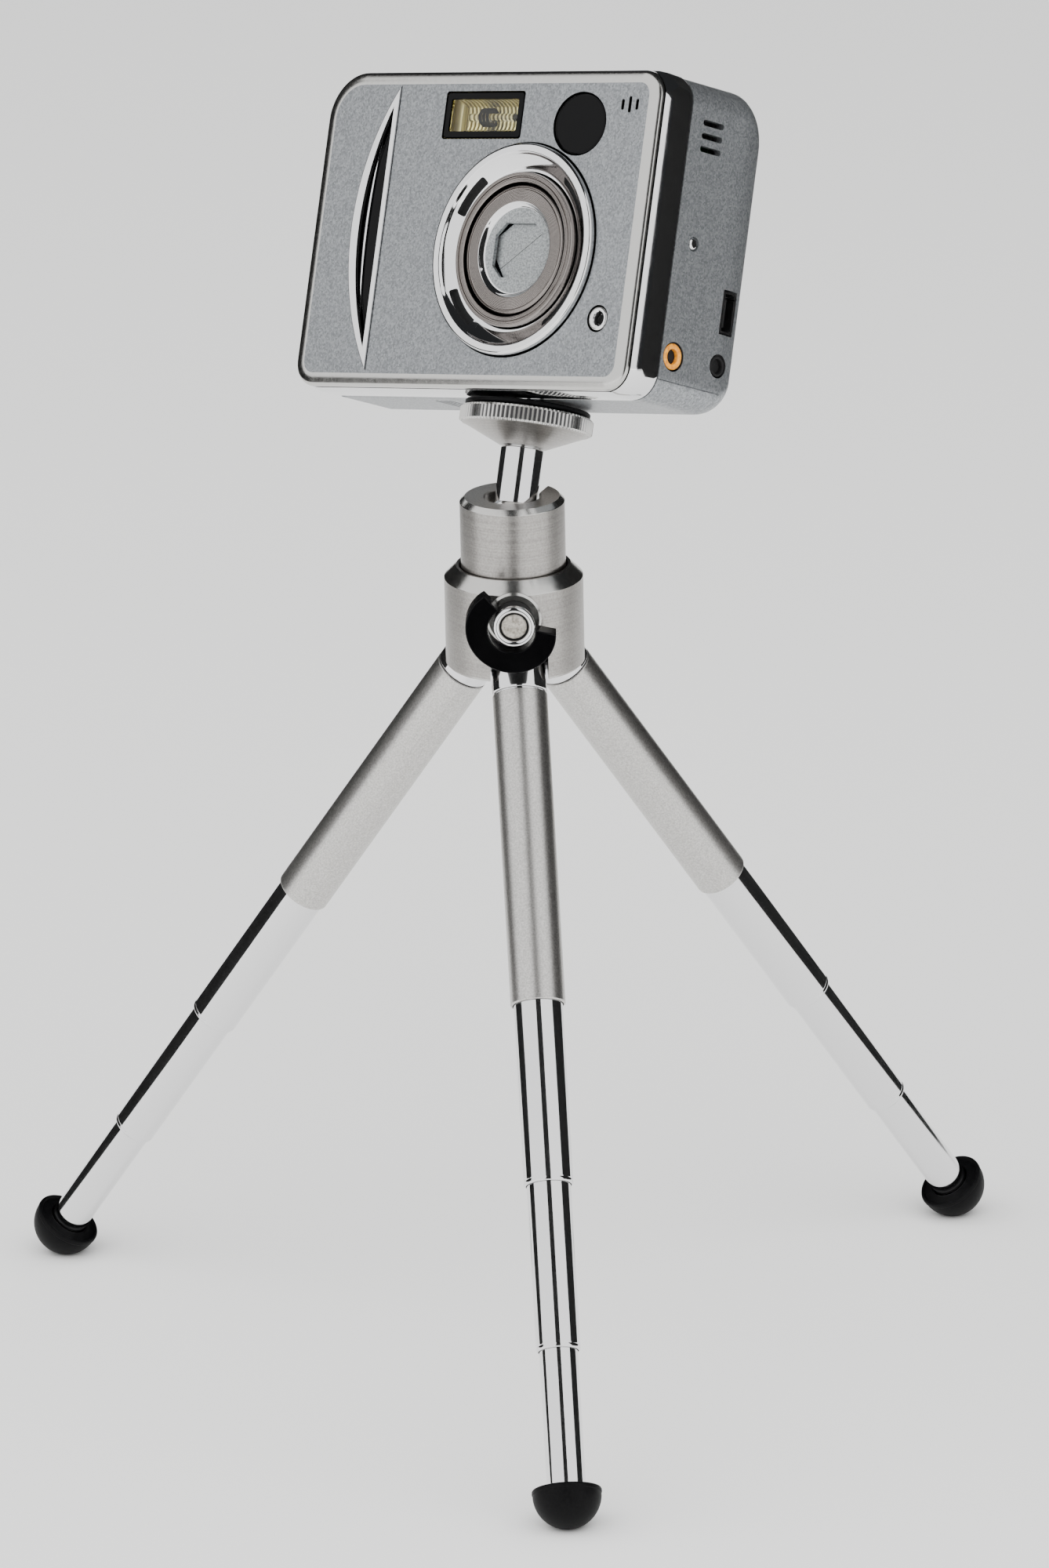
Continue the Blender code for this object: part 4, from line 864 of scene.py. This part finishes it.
class MINICAM_OT_controls(CameraOperator):
    """Build the buttons on the top and the controls on the back"""
    bl_idname = "minicam.controls"
    bl_label = "Controls"

    def execute(self, context):
        top, base = HEIGHT + 1.2, HEIGHT - WALL
        for body, (x, radius) in (("shutter", SHUTTER), ("power", POWER)):
            bm = lathe([(0, top - 0.35), (radius * 0.45, top - 0.3), (radius - 0.75, top - 0.05),
                        *arc((radius - 0.5, top - 0.5), 0.5, 90, 0, 5), (radius, base), (0, base)], 72)
            piece(f"{body}_button_skin", bm, bright_chrome, [f"{body}_button"],
                  CAMERA @ moved(x, 0, -BUTTON_DEPTH, -90, "X"), body)
        bm = pane(ROCKER, ROCKER_SIZE, (REAR - 0.3, REAR + WALL), 2.5, 0, 8)
        crown(bm, end_face(bm, -1), 0.6, 0.5, 4)
        dip = 14
        bm = carve(bm, rod(dip, -3.2, 3.2, moved(*ROCKER, REAR - dip - 0.35, 90, "X"), segments=128))
        piece("zoom_rocker_skin", bm, blasted_aluminium, ["zoom_rocker"], body="rocker")
        bm = lathe([(0, 0.45), (2.2, 0.5), (2.45, 0.3), (2.5, -0.2), (2.75, -0.2), (2.8, 0.45), (3.1, 0.62),
                    (6.6, 0.88), *arc((PAD_RADIUS - 0.5, 0.4), 0.5, 85, 0, 4), (PAD_RADIUS, -WALL),
                    (0, -WALL)], 96)
        marks = []
        for turn in range(0, 360, 90):
            mark = bmesh.new()
            bmesh.ops.create_circle(mark, cap_ends=True, radius=0.62, segments=3,
                                    matrix=moved(turn=turn) @ moved(4.9, 0, 0.45))
            raised(mark, mark.faces[:], 1.0)
            marks.append(mark)
        piece("direction_pad", carve(bm, together(*marks)), blasted_aluminium, ["nav_pad"],
              CAMERA @ moved(*PAD, REAR, 180, "Y"), "nav")
        bm = pane(SCREEN, SCREEN_SIZE, (REAR + 0.15, REAR + WALL), 1.5, 0, 6)
        soften(bm, 0.15, 2, 60)
        piece("screen_window", bm, screen_glass, ["lcd_window"])
        shy, pitch = 0.4, 1.2
        bm = block(DOOR_X, (shy, shy + WALL), DOOR_DEPTH)
        soften(bm, 0.2, 2)
        bm = carve(bm, together(*[
            block((DOOR_X[1] - 4.0 - i * pitch, DOOR_X[1] - 3.5 - i * pitch), (-1, 0.75), (-7.4, 0.6))
            for i in range(4)]))
        piece("battery_door_skin", bm, sprayed_silver, ["battery_door"], body="door")
        return {"FINISHED"}


class MINICAM_OT_inside(CameraOperator):
    """Finish the parts inside the camera and the head, which keep their own shape"""
    bl_idname = "minicam.inside"
    bl_label = "Inner Parts"

    def execute(self, context):
        repaint(circuit_board(CAMERA), "main_board")
        repaint(cell_sleeve(CAMERA), "battery_left", "battery_right")
        repaint(dark_hole(CAMERA), "image_sensor")
        repaint(zinc_steel_and_shade(CAMERA), "tripod_bush")
        repaint(zinc_steel_and_shade(TRIPOD), "leg_hub", "ball_seat", *[f"leg_pin_{side}" for side in SIDES])
        return {"FINISHED"}


# ---- tripod operators ----------------------------------------------------------------------------
class MINICAM_OT_legs(CameraOperator):
    """Build the knuckle and the four tubes of each leg"""
    bl_idname = "minicam.legs"
    bl_label = "Legs"

    def execute(self, context):
        steps = context.scene.minicam_tripod.turns
        knuckle_top, neck_end, head_end, cheek = 6.6, -11.9, -15.9, 5.6
        for side, place in LEGS.items():
            chrome = bright_chrome(place)
            radius = TUBES[0]
            neck = radius - TUBE_WALL - 0.15
            knuckle = lathe([(0, knuckle_top), (radius, knuckle_top), (radius, -5.2),
                             *arc((radius - 0.3, -5.3), 0.3, 0, -90, 4), (neck, -5.6), (neck, neck_end),
                             (0, neck_end)], steps)
            dome = carve(rod(cheek, -6, 6, moved(turn=90, axis="Y"), segments=96),
                         block((-6, 6), (-cheek, cheek), (head_end, 0)), "UNION")
            bm = carve(knuckle, dome, "INTERSECT")
            piece(f"knuckle_{side}", bm, chrome, [f"leg_plug_{side}"], place, f"leg_{side}")
            for i, section in enumerate(("tube", "second", "third", "fourth")):
                radius, inner = TUBES[i], TUBES[i] - TUBE_WALL
                top = -(TUBE_ENDS[i - 1] - OVERLAPS[i - 1]) if i else -5.9
                low = -TUBE_ENDS[i] - (3.0 if i == 3 else 0.0)
                bead = [] if i in (0, 3) else [(radius, low + 1.0), (radius - 0.07, low + 0.85),
                                               (radius - 0.07, low + 0.75), (radius, low + 0.6)]
                bm = lathe([(inner, top), (radius - 0.12, top), (radius, top - 0.12), *bead,
                            *arc((radius - 0.32, low + 0.32), 0.32, 0, -90, 5), (inner, low)], steps, True)
                finish, slot, body = ((chrome, "chrome", section) if i else
                                      (blasted_aluminium, "satin_silver", "leg"))
                piece(f"{section}_section_{side}", bm, finish, [f"leg_{section}_{side}"], place,
                      f"{body}_{side}", 50)
        return {"FINISHED"}


class MINICAM_OT_feet(CameraOperator):
    """Build the rubber feet, worn flat where they stand"""
    bl_idname = "minicam.feet"
    bl_label = "Feet"

    def execute(self, context):
        rim, radius, steps = -TUBE_ENDS[3], 6.3, 18
        socket = TUBES[3] + 0.15
        dome = [(radius * cos(a), rim - radius * sin(a))
                for a in [pi / 2 * i / steps for i in range(1, steps + 1)]]
        skin = [(r - 0.08 * (1 - i / steps), h) for i, (r, h) in enumerate(dome[:-1])]
        profile = [(0, rim - 3.3), (socket, rim - 3.3), (socket, rim + 0.8),
                   *arc((socket + 0.3, rim + 0.75), 0.25, 150, 60, 3), (5.0, rim + 0.62), (5.5, rim + 0.55),
                   *arc((radius - 0.45, rim + 0.5), 0.45, 100, 0, 5), (radius, rim + 0.1),
                   (radius - 0.12, rim - 0.05), *skin, dome[-1]]
        for side, place in LEGS.items():
            bm = lathe(profile, 96)
            down = place.to_3x3().inverted() @ Vector((0, 0, -1))
            ground = place.inverted() @ Vector((place.translation.x, place.translation.y, 0))
            made = bmesh.ops.bisect_plane(bm, geom=bm.verts[:] + bm.edges[:] + bm.faces[:], plane_co=ground,
                                          plane_no=down, clear_outer=True)["geom_cut"]
            bmesh.ops.holes_fill(bm, sides=0, edges=[e for e in made if isinstance(e, bmesh.types.BMEdge)])
            piece(f"foot_skin_{side}", bm, moulded_rubber, [f"foot_{side}"], place,
                  f"fourth_{side}")
        return {"FINISHED"}


class MINICAM_OT_head(CameraOperator):
    """Build the collar and the slotted cap that holds the ball"""
    bl_idname = "minicam.head"
    bl_label = "Collar and Cap"

    def execute(self, context):
        bore = CAP + GAP
        web = COLLAR_LOW + 9.3
        bm = lathe([(11.2, COLLAR_LOW), (11.2, web), (bore, web), (bore, COLLAR_TOP - 0.1),
                    (bore + 0.1, COLLAR_TOP), (COLLAR - 2.2, COLLAR_TOP), (COLLAR - 0.05, COLLAR_TOP - 2.15),
                    (COLLAR, COLLAR_TOP - 2.3), (COLLAR, COLLAR_LOW + 0.55), (COLLAR - 0.5, COLLAR_LOW)],
                   160, True)
        for side in SIDES:
            bm = carve(bm, rod(5.9, -5.3, 5.3, TRIPOD.inverted() @ SEATS[side] @ moved(turn=90, axis="Y"),
                               segments=64))
        tint(bm, lambda at, normal: 0.25 < abs(normal.z) < 0.9 and at.xy.length > COLLAR - 2.2)
        piece("collar_skin", bm, [turned_aluminium, polished_rim], ["collar"], TRIPOD,
              "head", 28)
        hole, half = 5.0, 4.2
        bm = lathe([(5.9, CAP_LOW), (5.9, BALL_HEIGHT), (5.7, BALL_HEIGHT + 1.55), (5.35, BALL_HEIGHT + 2.5),
                    (hole, BALL_HEIGHT + 3.1), (hole, CAP_TOP - 0.25), (hole + 0.25, CAP_TOP),
                    (CAP - 0.9, CAP_TOP), (CAP - 0.04, CAP_TOP - 0.84), (CAP, CAP_TOP - 0.95),
                    (CAP, CAP_LOW)], 144, True)
        slot = carve(block((-half, half), (BALL_HEIGHT, CAP_TOP + 2), (-CAP - 2, 0)),
                     rod(half, -CAP - 2, 0, moved(0, BALL_HEIGHT), segments=64), "UNION")
        bmesh.ops.transform(slot, matrix=Matrix.Rotation(pi / 2, 4, "X"), verts=slot.verts)
        bm = carve(bm, slot)
        tint(bm, lambda at, normal: 0.25 < normal.z < 0.9 and at.xy.length > CAP - 1)
        piece("cap_skin", bm, [turned_aluminium, polished_rim], ["ball_cap"], HEAD, "cap",
              28)
        return {"FINISHED"}


class MINICAM_OT_stem(CameraOperator):
    """Build the ball and stem, the knurled locking disc and its pad"""
    bl_idname = "minicam.stem"
    bl_label = "Stem and Disc"

    def execute(self, context):
        radius, ball, steps = 3.95, 5.6, 20
        start = -pi / 2
        neck = pi / 2 - atan2(radius, sqrt(ball * ball - radius * radius))
        arcs = [(ball * cos(a), ball * sin(a)) for a in
                [start + (neck - start) * i / steps for i in range(1, steps + 1)]]
        bm = lathe([(0, -ball), *arcs, (radius, arcs[-1][1] + 0.3), (radius, 14.0), (radius - 0.2, 14.2),
                    (3.1, 14.2), (3.1, 26.8), (2.6, 27.3), (0, 27.3)], 96)
        piece("ball_and_stem", bm, bright_chrome, ["ball_stem"], STEM, "ball", 40)
        low, wide, top, bore = 14.5, 12.25, 20.8, 3.25
        cone = low + 3.3
        points = context.scene.minicam_tripod.knurls * 4
        bm = lathe([(bore, low), (4.35, low), (4.6, low + 0.1), (11.0, cone - 0.25), (11.4, cone),
                    (11.7, cone), (wide, cone + 0.35), (wide, top - 0.35), (wide - 0.4, top), (bore, top)],
                   points, True)
        for vert in bm.verts:
            if vert.co.xy.length > wide - 0.1:
                tooth = round(atan2(vert.co.y, vert.co.x) / (2 * pi) * points) % 4
                vert.co.xy *= 1 - (0.0, 0.02, 0.045, 0.02)[tooth]
        tint(bm, lambda at, normal: at.z > cone + 0.1)
        # The valleys between the knurls take the darker, duller zinc finish: painted shade in the recesses.
        tint(bm, lambda at, normal: cone + 0.3 < at.z < top - 0.3
             and wide * 0.94 < at.xy.length < wide * 0.978, 2)
        piece("locking_disc", bm, [turned_aluminium, polished_rim, zinc_steel_and_shade], ["platform_disc"],
              STEM, "lock_disc", 12, False)
        bm = lathe([(bore, 21.1), (11.3, 21.1), (11.5, 21.3), (11.5, 21.8), (11.3, 22.0), (bore, 22.0)],
                   96, True)
        piece("disc_pad_skin", bm, moulded_rubber, ["disc_pad"], STEM, "lock_disc")
        return {"FINISHED"}


class MINICAM_OT_clamp(CameraOperator):
    """Build the clamp screw with its black wing and its washer"""
    bl_idname = "minicam.clamp"
    bl_label = "Clamp"

    def execute(self, context):
        washer = COLLAR + GAP
        bm = lathe([(1.9, washer), (5.0, washer), (5.0, washer + 0.25), (4.6, washer + 0.6),
                    (1.9, washer + 0.6)], 96, True)
        piece("washer_skin", bm, polished_rim, ["clamp_washer"], CLAMP, "head")
        back = washer + 0.9
        front = back + 4.0
        head = 3.8
        bm = lathe([(0, front - 0.35), (2.55, front - 0.35), (2.65, front - 0.1),
                    *arc((3.22, front - 0.08), 0.57, 172, 0, 12), (head, front - 0.8),
                    (head - 0.25, front - 1.1), (head - 0.25, back), (1.6, back), (1.6, 10.2), (0, 10.2)], 96)
        # Painted shade: the groove round the rough centre and the side of the head below its rounded rim take
        # the dark finish.
        tint(bm, lambda at, normal: at.xy.length < 2.7 and front - 0.4 < at.z < front)
        tint(bm, lambda at, normal: at.xy.length > head - 0.3 and back < at.z < front - 0.7)
        piece("clamp_screw_skin", bm, [bright_chrome, dark_hole], ["clamp_screw"], CLAMP, "clamp",
              40)
        bm = lathe([(0, front + 0.05), (1.6, front + 0.1), (2.1, front + 0.02), (2.3, front - 0.15),
                    (2.3, front - 0.34), (0, front - 0.34)], 64)
        bmesh.ops.subdivide_edges(bm, edges=bm.edges[:], cuts=1, use_grid_fill=True)
        piece("clamp_screw_face", bm, cast_face, (), CLAMP, "clamp", flat=False)
        start, end = radians(133), radians(347)
        bm = swept((5.0, 9.0), end - start, 72, back)
        gap = head + 0.15
        for vert in bm.verts:
            share = (atan2(vert.co.y, vert.co.x) % (2 * pi)) / (end - start)
            swell = sin(pi * (0.0 if share > 1.2 else min(share, 1.0)))
            wide = vert.co.xy.length > 7
            vert.co.xy = vert.co.xy.normalized() * (
                9.0 - 1.2 * (1 - swell) ** 2 if wide else gap + (5.2 - gap) * swell)
        raised(bm, bm.faces[:], 3.7)
        rims = [edge for edge in sharp_edges(bm, 50) if all(v.co.z > back + 1 for v in edge.verts)]
        bevel(bm, rims, 0.7, 4)
        bmesh.ops.transform(bm, matrix=Matrix.Rotation(start + pi / 2, 4, "Z"), verts=bm.verts)
        piece("clamp_wing_skin", bm, black_gloss, ["clamp_wing"], CLAMP, "clamp", 40)
        return {"FINISHED"}


# ---- stage ---------------------------------------------------------------------------------------
def toward(azimuth, height):
    """The direction at two angles in degrees, round from the front and up from the floor."""
    a, e = radians(azimuth), radians(height)
    return Vector((sin(a) * cos(e), -cos(a) * cos(e), sin(e)))


def sheet(name, finish, size, place=None):
    """A flat square of the stage."""
    bm = bmesh.new()
    bmesh.ops.create_grid(bm, x_segments=1, y_segments=1, size=size)
    if place:
        bmesh.ops.transform(bm, verts=bm.verts, matrix=place)
    made = as_object(name, bm)
    made.data.materials.append(finish)
    return made


def lamp(name, kind, location, **settings):
    """A light that the camera doesn't see."""
    light = bpy.data.lights.new(name, kind)
    for setting, value in settings.items():
        setattr(light, setting, value)
    made = bpy.data.objects.new(name, light)
    made.location = location
    made.visible_camera = False
    bpy.context.scene.collection.objects.link(made)
    return made


class MINICAM_OT_stage(CameraOperator):
    """Set the floor, the soft lights and the camera"""
    bl_idname = "minicam.stage"
    bl_label = "Stage"

    def execute(self, context):
        scene = context.scene
        sheet("floor", look("Pale floor", None, "#F6F6F5", 0.0, 0.9, **{"Specular IOR Level": 0.0})[0], 6.0)
        world = scene.world = bpy.data.worlds.new("Dim room")
        world.use_nodes = True
        background = world.node_tree.nodes["Background"].inputs
        background["Color"].default_value = linear("#E8ECF2")
        background["Strength"].default_value = 0.03

        aim, reach = Vector((BALL.x, BALL.y, 0.13)), 1.3
        for name, azimuth, height, width, tall, power in (
                ("box_left", -57, 34, 3.0, 2.0, 30), ("box_right", 40, 34, 1.7, 2.0, 18)):
            box = lamp(name, "AREA", aim + toward(azimuth, height) * reach, shape="RECTANGLE", size=width,
                       size_y=tall, energy=power)
            box.rotation_euler = (aim - box.location).to_track_quat("-Z", "Y").to_euler()
        lamp("overhead", "SUN", (0, 0, 2), energy=3.1, angle=radians(110)).visible_glossy = False
        # Cards that only reflections see: they draw the dark bands in the chrome.
        for name, azimuth, height, distance, width, tall in (
                ("card_left", -130, 8, 0.45, 0.28, 0.45), ("card_left_back", -155, 5, 0.5, 0.3, 0.4),
                ("card_right", 98, 8, 0.45, 0.33, 0.45), ("card_right_back", 135, 8, 0.5, 0.35, 0.45),
                ("card_left_low", -110, -3, 0.45, 0.36, 0.2), ("card_front", -3, 34, 0.42, 0.17, 0.6),
                ("card_low", -3, -12, 0.33, 0.12, 0.11)):
            at = aim + toward(azimuth, height) * distance
            card = sheet(name, look("Black card", None, "#030303", 0.0, 0.9)[0], 0.5, Matrix.LocRotScale(
                at, (aim - at).to_track_quat("Z", "Y"), (width, tall, 1)))
            card.visible_camera = card.visible_diffuse = card.visible_shadow = False

        azimuth, elevation, roll = -3.65, 18.79, radians(-1.16)
        height, sideways, distance = 0.10726, 0.00122, 2.0707
        back = toward(azimuth, elevation)
        right = Vector((cos(radians(azimuth)), sin(radians(azimuth)), 0))
        up = back.cross(right)
        across = cos(roll) * right + sin(roll) * up
        upright = cos(roll) * up - sin(roll) * right
        view = bpy.data.objects.new("view", bpy.data.cameras.new("view"))
        view.data.lens = 258.9
        view.data.shift_y = -0.0016
        view.data.clip_start, view.data.clip_end = 0.1, 50
        at = Vector((BALL.x, BALL.y, height)) + right * sideways + back * distance
        view.matrix_world = Matrix.Translation(at) @ Matrix((across, upright, back)).transposed().to_4x4()
        scene.collection.objects.link(view)
        scene.camera = view
        return {"FINISHED"}


OPERATORS = (
    MINICAM_OT_front_cover, MINICAM_OT_trim_band, MINICAM_OT_rear_cover, MINICAM_OT_grip, MINICAM_OT_flash,
    MINICAM_OT_finder_lamp, MINICAM_OT_lens_ring, MINICAM_OT_lens_barrels, MINICAM_OT_lens_blades,
    MINICAM_OT_side_sockets, MINICAM_OT_controls, MINICAM_OT_inside, MINICAM_OT_legs, MINICAM_OT_feet,
    MINICAM_OT_head, MINICAM_OT_stem, MINICAM_OT_clamp, MINICAM_OT_stage)


class MINICAM_PT_panel(bpy.types.Panel):
    """Sizes and steps of the camera and its tripod"""
    bl_label = "Camera on Mini Tripod"
    bl_idname = "MINICAM_PT_panel"
    bl_space_type = "VIEW_3D"
    bl_region_type = "UI"
    bl_category = "Mini Tripod"

    def draw(self, context):
        for group in (context.scene.minicam_camera, context.scene.minicam_tripod):
            for name in group.bl_rna.properties.keys():
                if name not in ("rna_type", "name"):
                    self.layout.prop(group, name)
        for operator in OPERATORS:
            self.layout.operator(operator.bl_idname)


CLASSES = (CameraLooks, TripodLooks, *OPERATORS, MINICAM_PT_panel)


def register():
    for cls in CLASSES:
        bpy.utils.register_class(cls)
    bpy.types.Scene.minicam_camera = PointerProperty(type=CameraLooks)
    bpy.types.Scene.minicam_tripod = PointerProperty(type=TripodLooks)


def unregister():
    del bpy.types.Scene.minicam_tripod
    del bpy.types.Scene.minicam_camera
    for cls in reversed(CLASSES):
        bpy.utils.unregister_class(cls)


def main():
    register()
    for operator in OPERATORS:
        group, name = operator.bl_idname.split(".")
        getattr(getattr(bpy.ops, group), name)()


if __name__ == "__main__":
    main()
